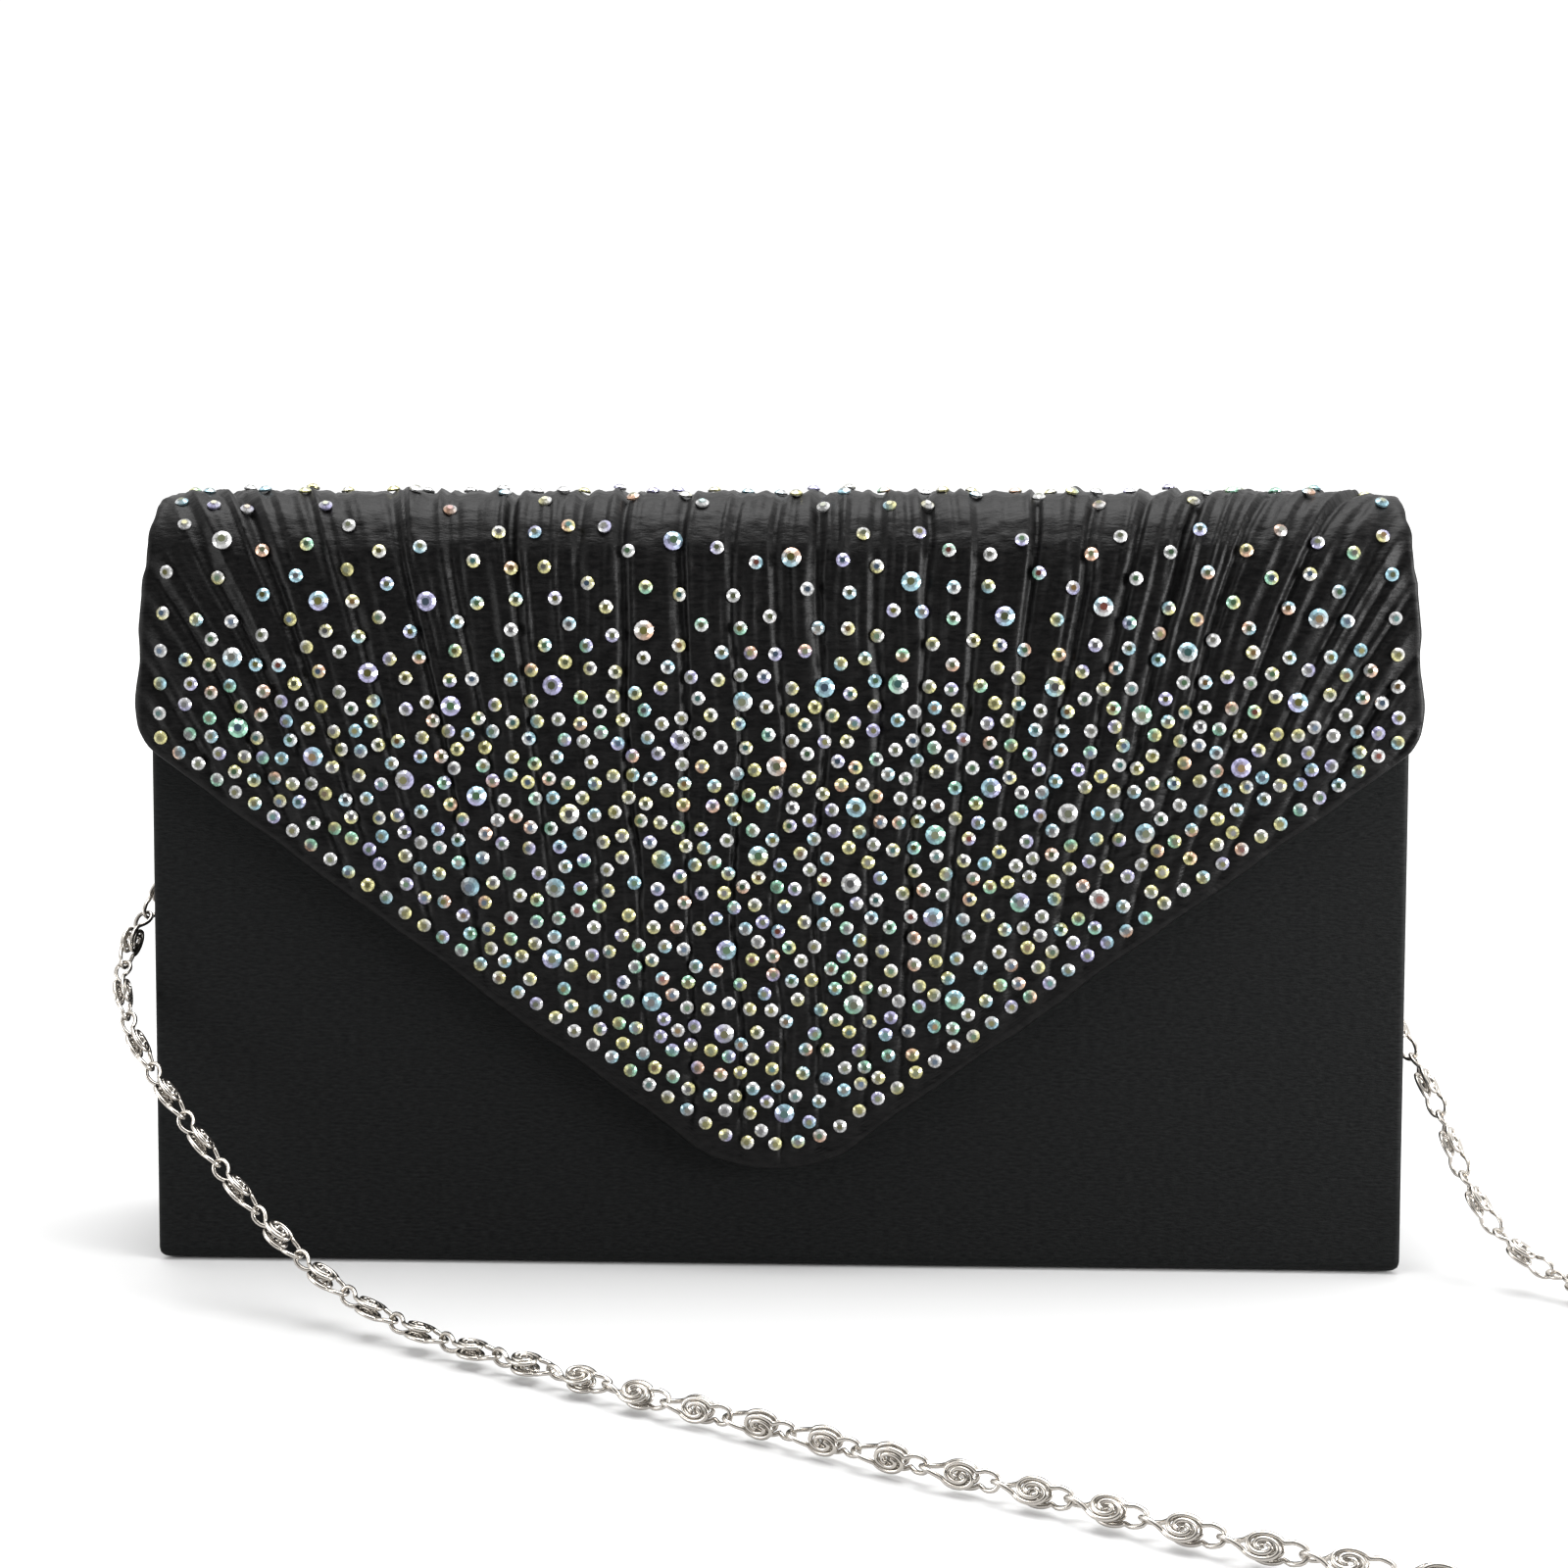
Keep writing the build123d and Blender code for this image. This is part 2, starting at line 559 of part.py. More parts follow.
# ---- flap ----
for draw, outer, inner, inset, layer_name in (
    (draw_flap_layer, 0.0, PLEAT_T, 0.0, "flap_cover"),
    (draw_flap_board, PLEAT_T, PLEAT_T + FLAP_BOARD_T, 1.4, "flap_board"),
    (draw_flap_layer, PLEAT_T + FLAP_BOARD_T, FLAP_T, 0.9, "flap_lining"),
):
    with BuildPart() as flap_layer:
        with BuildSketch(Plane.YZ):
            with BuildLine():
                draw(outer, inner, FLAP_APEX_Z - 4)
            make_face()
        extrude(amount=FLAP_W_LOW, both=True)
        with BuildSketch(Plane.XZ) as outline:
            with BuildLine():
                draw_flap_outline(inset)
            make_face()
            round_side_corner(outline, inset)
            mirror(about=Plane.YZ)
            fillet(outline.vertices().sort_by(Axis.Y)[0], radius=FLAP_TIP_R - inset)
        extrude(amount=BODY_D, both=True, mode=Mode.INTERSECT)
    keep(flap_layer, layer_name)

with BuildPart() as snap_stud:
    with BuildSketch(FRONT.offset(FLAP_GAP)):
        with Locations((0, SNAP_Z)):
            Circle(STUD_R)
    extrude(amount=-SNAP_PLATE_T)
    with BuildSketch(FRONT.offset(FLAP_GAP - SNAP_PLATE_T)):
        with Locations((0, SNAP_Z)):
            Circle(SNAP_POST_R)
    extrude(amount=-SNAP_POST_REACH)
keep(snap_stud, "snap_stud")

# ---- stones ----
ARC_START = MID_TOP_Y - FRONT_FOLD_Y                      # along the cloth, from the middle of the top
ARC_LENGTH = radians(90 - LEAN) * FRONT_FOLD_R
ARC_SPLIT = ARC_START + radians(45) * FRONT_FOLD_R        # where the flap's body begins
LOW_END = FRONT_FOLD_Z + FRONT_FOLD_R * SLOPE * UPRIGHT   # height where the flap's front is flat


def on_cloth(run):
    """Place on the flap's skin at a length along it: (y, z), and the normal's angle."""
    if run < ARC_START:
        return MID_TOP_Y - run, BAG_H, 90.0
    turn = degrees((run - ARC_START) / FRONT_FOLD_R)
    if turn < 90 - LEAN:
        angle = 90 + turn
        y = FRONT_FOLD_Y + FRONT_FOLD_R * cos(radians(angle))
        return y, FRONT_FOLD_Z + FRONT_FOLD_R * sin(radians(angle)), angle
    height = LOW_END - (run - ARC_START - ARC_LENGTH) * UPRIGHT
    return -wall_y(height, FLAP_OUT), height, 180 - LEAN


def run_at(height):
    """Length along the cloth down to a height on the flat front."""
    return ARC_START + ARC_LENGTH + (LOW_END - height) / UPRIGHT


def spacing_at(run):
    """Least distance between small stones: wide near the top, close over the point."""
    share = min(max((run - GAP_START) / GAP_REACH, 0), 1)
    return GAP_TOP - (GAP_TOP - GAP_POINT) * share * share * (3 - 2 * share)


def edge_sites():
    """The row of stones that follows the flap's edge, from the top of one side to the other."""
    slant = (FLAP_CORNER_Z - FLAP_APEX_Z) / (FLAP_W_LOW / 2)
    stretch = sqrt(1 + slant * slant)
    corner_x = FLAP_W_LOW / 2 - EDGE_BAND
    corner_z = FLAP_APEX_Z + EDGE_BAND_CORNER * stretch + slant * corner_x
    apex = FLAP_APEX_Z + EDGE_BAND_TIP * stretch
    tip_r = FLAP_TIP_R - EDGE_BAND_TIP
    angle = atan2(slant, 1)
    tip_z = apex + tip_r / cos(angle)
    rise = tip_r * sin(angle)
    path = []
    for step in range(60):
        share = step / 59
        height = BAG_H - EDGE_DROP + share * (corner_z - BAG_H + EDGE_DROP)
        path.append((flap_half_width(height) - EDGE_BAND, height))
    path.append((rise, tip_z - tip_r * cos(angle)))
    for step in range(1, 9):
        swing = angle * (1 - step / 8)
        path.append((tip_r * sin(swing), tip_z - tip_r * cos(swing)))
    sites = [path[0]]
    left = EDGE_PITCH_TOP
    for a, b in zip(path, path[1:]):
        length = hypot(b[0] - a[0], b[1] - a[1])
        done = 0.0
        while length - done >= left:
            done += left
            share = done / length
            z = a[1] + share * (b[1] - a[1])
            sites.append((a[0] + share * (b[0] - a[0]), z))
            rise_share = max((z - corner_z) / (BAG_H - corner_z), 0)
            left = EDGE_PITCH + rise_share * (EDGE_PITCH_TOP - EDGE_PITCH)
        left -= length - done
    return [(x, run_at(z)) for x, z in sites if z < LOW_END]


def scatter(chance):
    """Places of the large and small stones, as (x, run) on the cloth."""
    small = []
    for x, run in edge_sites():
        small.append((x, run + chance.uniform(-ROW_WANDER, ROW_WANDER)))
        if x > 1.5:
            small.append((-x, run + chance.uniform(-ROW_WANDER, ROW_WANDER)))
    large = []
    run_end = run_at(FLAP_APEX_Z)

    def inside(x, run, margin):
        height = on_cloth(run)[1]
        slack = margin if run > ARC_SPLIT else margin - 1.5
        lower = flap_edge_height(abs(x)) + MARGIN_RISE * margin
        return abs(x) < flap_half_width(height) - slack and height > lower

    def free(x, run, others, gap):
        return all(hypot(x - a, run - b) >= gap for a, b in others)

    for trial in range(6000):
        x = chance.uniform(-FLAP_W_LOW / 2, FLAP_W_LOW / 2)
        run = chance.uniform(6, run_end)
        gap = BIG_GAP if run > BIG_GAP_FROM else BIG_GAP_TOP
        if inside(x, run, EDGE_BAND + BIG_MARGIN) and free(x, run, large, gap):
            if chance.random() < BIG_CHANCE and len(large) < BIG_MOST:
                large.append((x, run))
    for trial in range(60000):
        x = chance.uniform(-FLAP_W_LOW / 2, FLAP_W_LOW / 2)
        run = chance.uniform(0.5, run_end)
        gap = spacing_at(run)
        if not inside(x, run, EDGE_BAND + SMALL_MARGIN):
            continue
        if free(x, run, large, 0.86 * gap + 0.9) and free(x, run, small, gap):
            small.append((x, run))
    return small, large


def stone_place(x, run):
    """Where a stone stands: its foot on the cloth, its axis along the cloth's normal."""
    y, z, angle = on_cloth(run)
    out_y = cos(radians(angle))
    out_z = sin(radians(angle))
    foot = (x, y + GLUE * out_y, z + GLUE * out_z)
    return Plane(origin=foot, x_dir=(1, 0, 0), z_dir=(0, out_y, out_z))


small_sites, large_sites = scatter(Random(11))
on_spine = [site for site in small_sites if site[1] < ARC_SPLIT - FOLD_MARGIN]
on_flap = [site for site in small_sites if site[1] > ARC_SPLIT + FOLD_MARGIN]
large_on_flap = [site for site in large_sites if site[1] > ARC_SPLIT + BIG_FOLD_MARGIN]

for sites, radius, height, group_name in (
    (on_spine, STONE_R, STONE_H, "spine_stones"),
    (on_flap, STONE_R, STONE_H, "small_stones"),
    (large_on_flap, BIG_STONE_R, BIG_STONE_H, "large_stones"),
):
    with BuildPart() as stones:
        with Locations(*[stone_place(x, run) for x, run in sites]):
            Cone(radius, radius * TABLE_SHARE, height, align=(Align.CENTER, Align.CENTER, Align.MIN))
    print(group_name, len(sites))
    keep(stones, group_name)

# ---- chain strap ----
# Each strand hangs in the fold of the side, comes out past the edge of the front wall and lies down.
LEFT_ROUTE = [
    (-101.0, 0.0, CHAIN_TOP_Z),
    (-101.4, -0.4, 78.0),
    (-104.0, -2.0, 69.5),
    (-108.5, -5.5, 62.0),
    (-112.4, -11.5, 55.5),
    (-112.8, -19.0, 49.0),
    (-109.4, -25.8, 42.0),
    (-103.8, -31.2, 35.2),
    (-97.0, -36.4, 28.4),
    (-89.6, -42.0, 21.4),
    (-81.4, -47.4, 14.4),
    (-72.0, -53.2, 8.0),
    (-61.0, -60.4, 3.9),
    (-48.6, -69.2, 2.6),
    (-34.0, -78.6, 2.6),
    (-16.0, -91.0, 2.6),
    (3.0, -102.0, 2.6),
    (22.0, -114.4, 2.6),
    (42.0, -125.6, 2.6),
    (61.0, -137.8, 2.6),
    (80.5, -147.4, 2.6),
    (99.5, -153.6, 2.6),
    (118.0, -152.6, 2.6),
    (133.5, -143.5, 2.6),
    (145.5, -131.6, 2.6),
    (157.0, -124.2, 2.6),
]
RIGHT_ROUTE = [
    (101.0, 0.0, CHAIN_TOP_Z),
    (101.3, -0.5, 77.0),
    (102.0, -1.6, 66.0),
    (103.0, -3.4, 54.0),
    (105.6, -6.0, 44.0),
    (109.6, -9.4, 36.4),
    (113.2, -13.6, 29.6),
    (115.4, -18.2, 22.6),
    (118.0, -22.4, 15.8),
    (121.6, -26.2, 9.8),
    (127.0, -30.2, 5.2),
    (134.0, -35.8, 2.9),
    (144.0, -43.0, 2.6),
    (154.0, -52.6, 2.6),
    (163.4, -61.4, 3.4),
    (171.4, -69.4, 4.8),
]


def bend_radii(points):
    """One radius for each corner: 0.45 of the shorter run, over the tangent of half the turn."""
    radii = []
    for a, b, c in zip(points, points[1:], points[2:]):
        before = Vector(*b) - Vector(*a)
        after = Vector(*c) - Vector(*b)
        turn = radians(before.get_angle(after))
        radii.append(0.45 * min(before.length, after.length) / tan(turn / 2))
    return radii


for route, chain_name in ((LEFT_ROUTE, "left_chain"), (RIGHT_ROUTE, "right_chain")):
    radii = bend_radii(route)
    with BuildPart() as chain:
        with BuildLine() as line:
            FilletPolyline(*route, radius=radii)
        start = Plane(origin=line.line @ 0, z_dir=line.line % 0)
        with BuildSketch(start):
            Circle(CHAIN_D / 2)
        sweep()
    length = sum(edge.length for edge in line.edges())
    runs = [(Vector(*b) - Vector(*a)).length for a, b in zip(route, route[1:])]
    section = pi * CHAIN_D ** 2 / 4
    print(chain_name, "length", round(length, 1), "runs", [round(run, 1) for run in runs])
    print("  radii", [round(radius, 1) for radius in radii])
    print("  volume over section x length", round(chain.part.volume / (section * length), 4))
    keep(chain, chain_name)

with BuildPart() as chain_coil:
    with BuildSketch():
        with Locations((COIL_X, COIL_Y)):
            Circle(COIL_OUT_R)
            Circle(COIL_IN_R, mode=Mode.SUBTRACT)
    extrude(amount=COIL_H)
    fillet(chain_coil.edges().filter_by(GeomType.CIRCLE), radius=COIL_ROUND)
keep(chain_coil, "chain_coil")

print("front fold centre", FRONT_FOLD_Y, FRONT_FOLD_Z, "pivot", FRONT_PIVOT)
print("back fold centre", BACK_FOLD_Y, BACK_FOLD_Z, "pivot", BACK_PIVOT)
print("front crease", -wall_y(1.5, -1.0), 1.5)
print("clasp", CLASP_Z, "lever pivot", RING_X + LEVER_PIVOT_X, CLASP_Z + LEVER_PIVOT_Z, "jump", JUMP_Z)
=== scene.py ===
"""Looks of the evening bag: pleated satin flap with crystals, plain satin body, scroll-link chain."""
import math

import bpy
import numpy as np
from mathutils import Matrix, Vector


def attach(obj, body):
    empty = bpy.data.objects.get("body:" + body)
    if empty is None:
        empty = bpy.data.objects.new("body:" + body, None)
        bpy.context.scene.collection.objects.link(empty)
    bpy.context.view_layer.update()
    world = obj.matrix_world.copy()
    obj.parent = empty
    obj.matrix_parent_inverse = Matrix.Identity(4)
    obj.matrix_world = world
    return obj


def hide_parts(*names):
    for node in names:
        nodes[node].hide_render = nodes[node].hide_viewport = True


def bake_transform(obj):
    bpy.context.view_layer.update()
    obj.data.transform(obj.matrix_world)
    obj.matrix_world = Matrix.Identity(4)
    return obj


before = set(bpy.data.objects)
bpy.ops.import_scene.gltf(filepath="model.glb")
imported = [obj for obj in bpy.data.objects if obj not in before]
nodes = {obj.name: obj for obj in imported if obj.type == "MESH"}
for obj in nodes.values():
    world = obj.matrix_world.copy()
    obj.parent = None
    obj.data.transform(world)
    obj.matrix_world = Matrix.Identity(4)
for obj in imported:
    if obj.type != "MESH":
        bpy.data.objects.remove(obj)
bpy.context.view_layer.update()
MM = 0.001

# ---- sizes that the CAD gives too, in millimetres ----
LEAN = math.radians(3.6)
BODY_D = 42.0
BODY_W = 214.0
BAG_H = 131.5
WALL_TOP = 121.0
FLAP_OUT = 4.6
FRONT_R = 11.5
BACK_R = 9.0
BASE_R = 2.0

# ---- sizes of the cloths, in millimetres ----
PLEATED_DEPTH, PLEATED_HEM = 2.06, 5.0   # from the flap's skin to the hem behind its board, and the hem
SATIN_DEPTH, SATIN_HEM = 2.14, 4.0       # the same on the walls
WALL_SIDE = 1.05                         # from the wall's side to where its satin turns
WALL_CORNER = 1.5                        # radius of the wall's upper corners
BASE_TAPER = 1.2                         # how much narrower the satin is under the base
LINING_T, FLAP_LINING_T = 0.32, 0.34
SIDE_T = 0.75


def wall_y(height, outward):
    """Distance from the middle plane to a layer of a leaning wall, at a height."""
    return BODY_D / 2 - height * math.tan(LEAN) + outward / math.cos(LEAN)


FRONT_Z = BAG_H - FRONT_R
FRONT_Y = -wall_y(FRONT_Z, FLAP_OUT) + FRONT_R / math.cos(LEAN)
BACK_Z = BAG_H - BACK_R
BACK_Y = wall_y(BACK_Z, 0) - BACK_R / math.cos(LEAN)
MID_Y = (FRONT_Y + BACK_Y) / 2
TURN = 90 - math.degrees(LEAN)

# ---- camera ----
EYE = Vector((0.01934, -0.471, 0.14539))
camera = bpy.data.objects.new("Camera", bpy.data.cameras.new("Camera"))
bpy.context.scene.collection.objects.link(camera)
bpy.context.scene.camera = camera
camera.location = EYE
camera.rotation_euler = (math.radians(82.231), 0.0, math.radians(2.236))
camera.data.sensor_width = 36.0
camera.data.lens = 62.07
camera.data.clip_start = 0.01
camera.data.clip_end = 20.0


# ---- small tools ----
def smooth(t):
    """Rises smoothly from 0 at 0 to 1 at 1."""
    t = np.clip(t, 0.0, 1.0)
    return t * t * (3 - 2 * t)


def noise(u, v, seed):
    """Smooth seeded noise from -1 to 1 with one bump for each unit of u and v."""
    table = np.random.default_rng(seed).uniform(-1, 1, (64, 64))
    iu, iv = np.floor(u).astype(int), np.floor(v).astype(int)
    fu, fv = smooth(u - iu), smooth(v - iv)
    a = table[iu % 64, iv % 64]
    b = table[(iu + 1) % 64, iv % 64]
    c = table[iu % 64, (iv + 1) % 64]
    d = table[(iu + 1) % 64, (iv + 1) % 64]
    return (a * (1 - fu) + b * fu) * (1 - fv) + (c * (1 - fu) + d * fu) * fv


def add_mesh(name, points, faces, material, uv=None, shade_smooth=True):
    """A mesh object from points in millimetres."""
    data = bpy.data.meshes.new(name)
    data.from_pydata((np.asarray(points) * MM).tolist(), [], [list(map(int, f)) for f in faces])
    data.materials.append(material)
    if uv is not None:
        layer = data.uv_layers.new(name="UVMap")
        index = np.empty(len(data.loops), np.int32)
        data.loops.foreach_get("vertex_index", index)
        layer.data.foreach_set("uv", (np.asarray(uv)[index] * MM).astype(np.float32).ravel())
    data.polygons.foreach_set("use_smooth", [shade_smooth] * len(data.polygons))
    data.update()
    made = bpy.data.objects.new(name, data)
    bpy.context.scene.collection.objects.link(made)
    return made


class Patch:
    """Points, faces and cloth coordinates of a mesh that is made of several grids."""

    def __init__(self):
        self.points, self.uv, self.faces, self.count = [], [], [], 0

    def grid(self, points, uv, flip=False):
        """Adds rows x columns of points as quads."""
        rows, cols = points.shape[:2]
        index = np.arange(rows * cols).reshape(rows, cols) + self.count
        corners = [index[:-1, :-1], index[:-1, 1:], index[1:, 1:], index[1:, :-1]]
        if flip:
            corners.reverse()
        self.faces.append(np.stack(corners, axis=-1).reshape(-1, 4))
        self.points.append(points.reshape(-1, 3))
        self.uv.append(uv.reshape(-1, 2))
        self.count += rows * cols

    def build(self, name, material, weld=0.002):
        """The mesh object, with points that coincide made one."""
        points = np.concatenate(self.points)
        uv = np.concatenate(self.uv)
        faces = np.concatenate(self.faces)
        key = np.round(points / weld).astype(np.int64)
        first, back = np.unique(key, axis=0, return_index=True, return_inverse=True)[1:]
        faces = back.reshape(-1)[faces]
        kept = []
        for face in faces.tolist():
            loop = [p for i, p in enumerate(face) if p != face[i - 1]]
            if len(loop) > 2:
                kept.append(loop)
        return add_mesh(name, points[first], kept, material, uv[first])


PATH_STEP, ARC_STEP = 0.25, 1.5          # sampling of a path, in millimetres and in degrees


class Path:
    """A line in the side view with an outward normal, sampled finely."""

    def __init__(self, side, *parts):
        ys, zs = [], []
        for part in parts:
            if part[0] == "line":
                (y0, z0), (y1, z1) = part[1:]
                steps = max(2, int(math.hypot(y1 - y0, z1 - z0) / PATH_STEP))
                t = np.linspace(0, 1, steps)
                ys.append(y0 + t * (y1 - y0))
                zs.append(z0 + t * (z1 - z0))
            else:
                (cy, cz), radius, start, end = part[1:]
                steps = max(12, int(abs(end - start) / ARC_STEP))
                angle = np.radians(np.linspace(start, end, steps))
                ys.append(cy + radius * np.cos(angle))
                zs.append(cz + radius * np.sin(angle))
        y, z = np.concatenate(ys), np.concatenate(zs)
        keep = np.concatenate([[True], np.hypot(np.diff(y), np.diff(z)) > 1e-6])
        self.y, self.z = y[keep], z[keep]
        self.run = np.concatenate([[0], np.cumsum(np.hypot(np.diff(self.y), np.diff(self.z)))])
        ty, tz = np.gradient(self.y, self.run), np.gradient(self.z, self.run)
        size = np.hypot(ty, tz)
        self.ny, self.nz = side * tz / size, -side * ty / size

    def place(self, x, run, out):
        """Points at a place across, a length along the path and a distance outwards."""
        x, run, out = np.broadcast_arrays(x, run, out)
        y = np.interp(run, self.run, self.y) + out * np.interp(run, self.run, self.ny)
        z = np.interp(run, self.run, self.z) + out * np.interp(run, self.run, self.nz)
        past = run - self.run[-1]
        over = past > 0
        dy, dz = self.y[-1] - self.y[-2], self.z[-1] - self.z[-2]
        step = math.hypot(dy, dz)
        y = np.where(over, y + past * dy / step, y)
        z = np.where(over, z + past * dz / step, z)
        return np.stack([x, y, z], axis=-1)


# How a cloth turns round the edge of a board: outwards, and down from its face, in shares of the depth.
EDGE_TURN = [
    (0.0, 0.0), (0.25, 0.03), (0.43, 0.13), (0.5, 0.32), (0.5, 0.72), (0.46, 0.9), (0.3, 0.99), (0.0, 1.0),
]
TURN_CLOTH = 1.4                 # cloth used by the turned edge, in depths
HEM_STEPS = 3


def outward_normals(x, run, probe):
    """Normals in the cloth's plane along a boundary; at the point probe they point away from the middle."""
    tx, tr = np.gradient(x), np.gradient(run)
    size = np.maximum(np.hypot(tx, tr), 1e-9)
    sign = 1.0 if x[probe] * tr[probe] > 0 else -1.0
    return sign * tr / size, -sign * tx / size


def wrapped(name, material, path, rows, half, columns, lift, depth, hem, closed_low, closed_top, wave=None):
    """A cloth laid over a board: its face, the turned edges and the hem behind.

    closed_low: the cloth ends in a point, so that one turned edge runs all round its foot.
    closed_top: one turned edge runs up both sides and over the top.
    """
    across = np.linspace(-1, 1, columns)
    x = half[:, None] * across[None, :]
    run = np.repeat(rows[:, None], columns, axis=1)
    patch = Patch()
    patch.grid(path.place(x, run, lift(x, run)), np.stack([x, run], axis=-1), flip=True)
    left = [(i, 0) for i in range(len(rows))]
    right = [(i, columns - 1) for i in range(len(rows) - 1, -1, -1)]
    if closed_top:
        top = [(0, j) for j in range(1, columns - 1)]
        edges = [left[::-1] + top + right[::-1]]
    elif closed_low:
        edges = [left + right[1:]]
    else:
        edges = [left, right]
    for line in edges:
        ex = np.array([x[i, j] for i, j in line])
        er = np.array([run[i, j] for i, j in line])
        probe = len(line) // 4
        nx, nr = outward_normals(ex, er, probe)
        rise = lift(ex, er)
        stray = wave(er) if wave else 0.0
        strip, flat = [], []
        for out, down in EDGE_TURN:
            away = out * (depth + stray)
            strip.append(path.place(ex + nx * away, er + nr * away, rise * (1 - down) - down * depth))
            used = down * depth * TURN_CLOTH
            flat.append(np.stack([ex + nx * used, er + nr * used], axis=-1))
        for step in range(1, HEM_STEPS + 1):
            back = hem * step / HEM_STEPS
            strip.append(path.place(ex - nx * back, er - nr * back, np.full(len(ex), -depth)))
            used = depth * TURN_CLOTH + back
            flat.append(np.stack([ex + nx * used, er + nr * used], axis=-1))
        strip, flat = np.array(strip), np.array(flat)
        corner = strip[0, probe]
        normal = np.cross(strip[1, probe] - corner, strip[0, probe + 1] - corner)
        off_skin = path.place(ex[probe], er[probe], 1.0) - path.place(ex[probe], er[probe], 0.0)
        patch.grid(strip, flat, flip=bool(np.dot(normal, off_skin) > 0))
    return patch.build(name, material)


# ---- materials ----
def set_inputs(node, constants):
    """Constants on a node's sockets; in their names, underscores stand for spaces."""
    for key, value in constants.items():
        node.inputs[key.replace("_", " ")].default_value = value


def add_node(tree, kind, **constants):
    """A new shader node with constants on its sockets."""
    node = tree.nodes.new("ShaderNode" + kind)
    set_inputs(node, constants)
    return node


def principled(name, colour, roughness, metallic=0.0, **constants):
    """A material with a Principled shader and constants on its sockets."""
    material = bpy.data.materials.new(name)
    material.use_nodes = True
    shader = material.node_tree.nodes["Principled BSDF"]
    shader.inputs["Base Color"].default_value = (*colour, 1)
    shader.inputs["Roughness"].default_value = roughness
    shader.inputs["Metallic"].default_value = metallic
    set_inputs(shader, constants)
    return material, shader


def cloth(name, dark, light, roughness, slub, bump, gloss, sheen):
    """Woven satin: fine slubs across it, a soft mottle and a low sheen."""
    material, shader = principled(
        name, dark, roughness, Specular_IOR_Level=gloss,
        Sheen_Weight=sheen, Sheen_Roughness=0.35, Sheen_Tint=(0.9, 0.92, 0.95, 1),
    )
    tree = material.node_tree
    place = add_node(tree, "TexCoord")
    along = add_node(tree, "Mapping", Scale=slub)
    tree.links.new(place.outputs["UV"], along.inputs["Vector"])
    threads = add_node(tree, "TexNoise", Scale=1.0, Detail=3.0, Roughness=0.65)
    tree.links.new(along.outputs["Vector"], threads.inputs["Vector"])
    mix = add_node(tree, "Mix")
    mix.data_type = "RGBA"
    mix.inputs["A"].default_value = (*dark, 1)
    mix.inputs["B"].default_value = (*light, 1)
    ramp = add_node(tree, "MapRange", From_Min=0.35, From_Max=0.7)
    tree.links.new(threads.outputs["Fac"], ramp.inputs["Value"])
    tree.links.new(ramp.outputs["Result"], mix.inputs["Factor"])
    tree.links.new(mix.outputs["Result"], shader.inputs["Base Color"])
    rough = add_node(tree, "MapRange", To_Min=roughness - 0.06, To_Max=roughness + 0.08)
    tree.links.new(threads.outputs["Fac"], rough.inputs["Value"])
    tree.links.new(rough.outputs["Result"], shader.inputs["Roughness"])
    relief = add_node(tree, "Bump", Strength=bump, Distance=0.0002)
    tree.links.new(threads.outputs["Fac"], relief.inputs["Height"])
    tree.links.new(relief.outputs["Normal"], shader.inputs["Normal"])
    return material


satin = cloth(
    "satin", (0.0014, 0.0017, 0.0018), (0.0078, 0.0084, 0.0083),
    roughness=0.5, slub=(750, 2600, 1), bump=0.9, gloss=0.09, sheen=0.0,
)
pleated = cloth(
    "pleated_satin", (0.0004, 0.0004, 0.0005), (0.0050, 0.0047, 0.0047),
    roughness=0.4, slub=(480, 1500, 1), bump=0.7, gloss=0.12, sheen=0.0,
)
lining = cloth(
    "lining", (0.008, 0.008, 0.009), (0.018, 0.018, 0.019),
    roughness=0.55, slub=(1500, 1500, 1), bump=0.3, gloss=0.3, sheen=0.1,
)
board, _ = principled("board", (0.012, 0.011, 0.011), 0.9)
metal, _ = principled("plated_metal", (0.56, 0.54, 0.50), 0.22, 1.0)
chain_metal, _ = principled("chain_metal", (0.47, 0.44, 0.40), 0.24, 1.0)


def tinted(name, metallic, roughness):
    """Foil-backed crystal: each facet's colour is kept with the mesh, the coating's tints together with
    painted reflection and painted shade.
    """
    material, shader = principled(name, (1, 1, 1), roughness, metallic, Coat_Weight=0.5, Coat_Roughness=0.03)
    tree = material.node_tree
    colour = add_node(tree, "Attribute")
    colour.attribute_name = "tint_and_reflection"
    tree.links.new(colour.outputs["Color"], shader.inputs["Base Color"])
    return material


crystal = tinted("crystal", 0.6, 0.16)
crystal_table = tinted("crystal_table", 0.35, 0.15)

FINISH = {
    "front_board": board, "back_board": board, "base_board": board,
    "spine_board": board, "flap_board": board,
    "front_lining": lining, "back_lining": lining, "base_lining": lining, "inner_pocket": lining,
    "pocket_binding": satin, "left_ring_tab": satin, "right_ring_tab": satin,
}
for node_name, node in nodes.items():
    finish = FINISH.get(node_name, metal)
    node.data.materials.clear()
    node.data.materials.append(finish)
    if finish is metal:
        node.data.polygons.foreach_set("use_smooth", [True] * len(node.data.polygons))
        node.data.update()

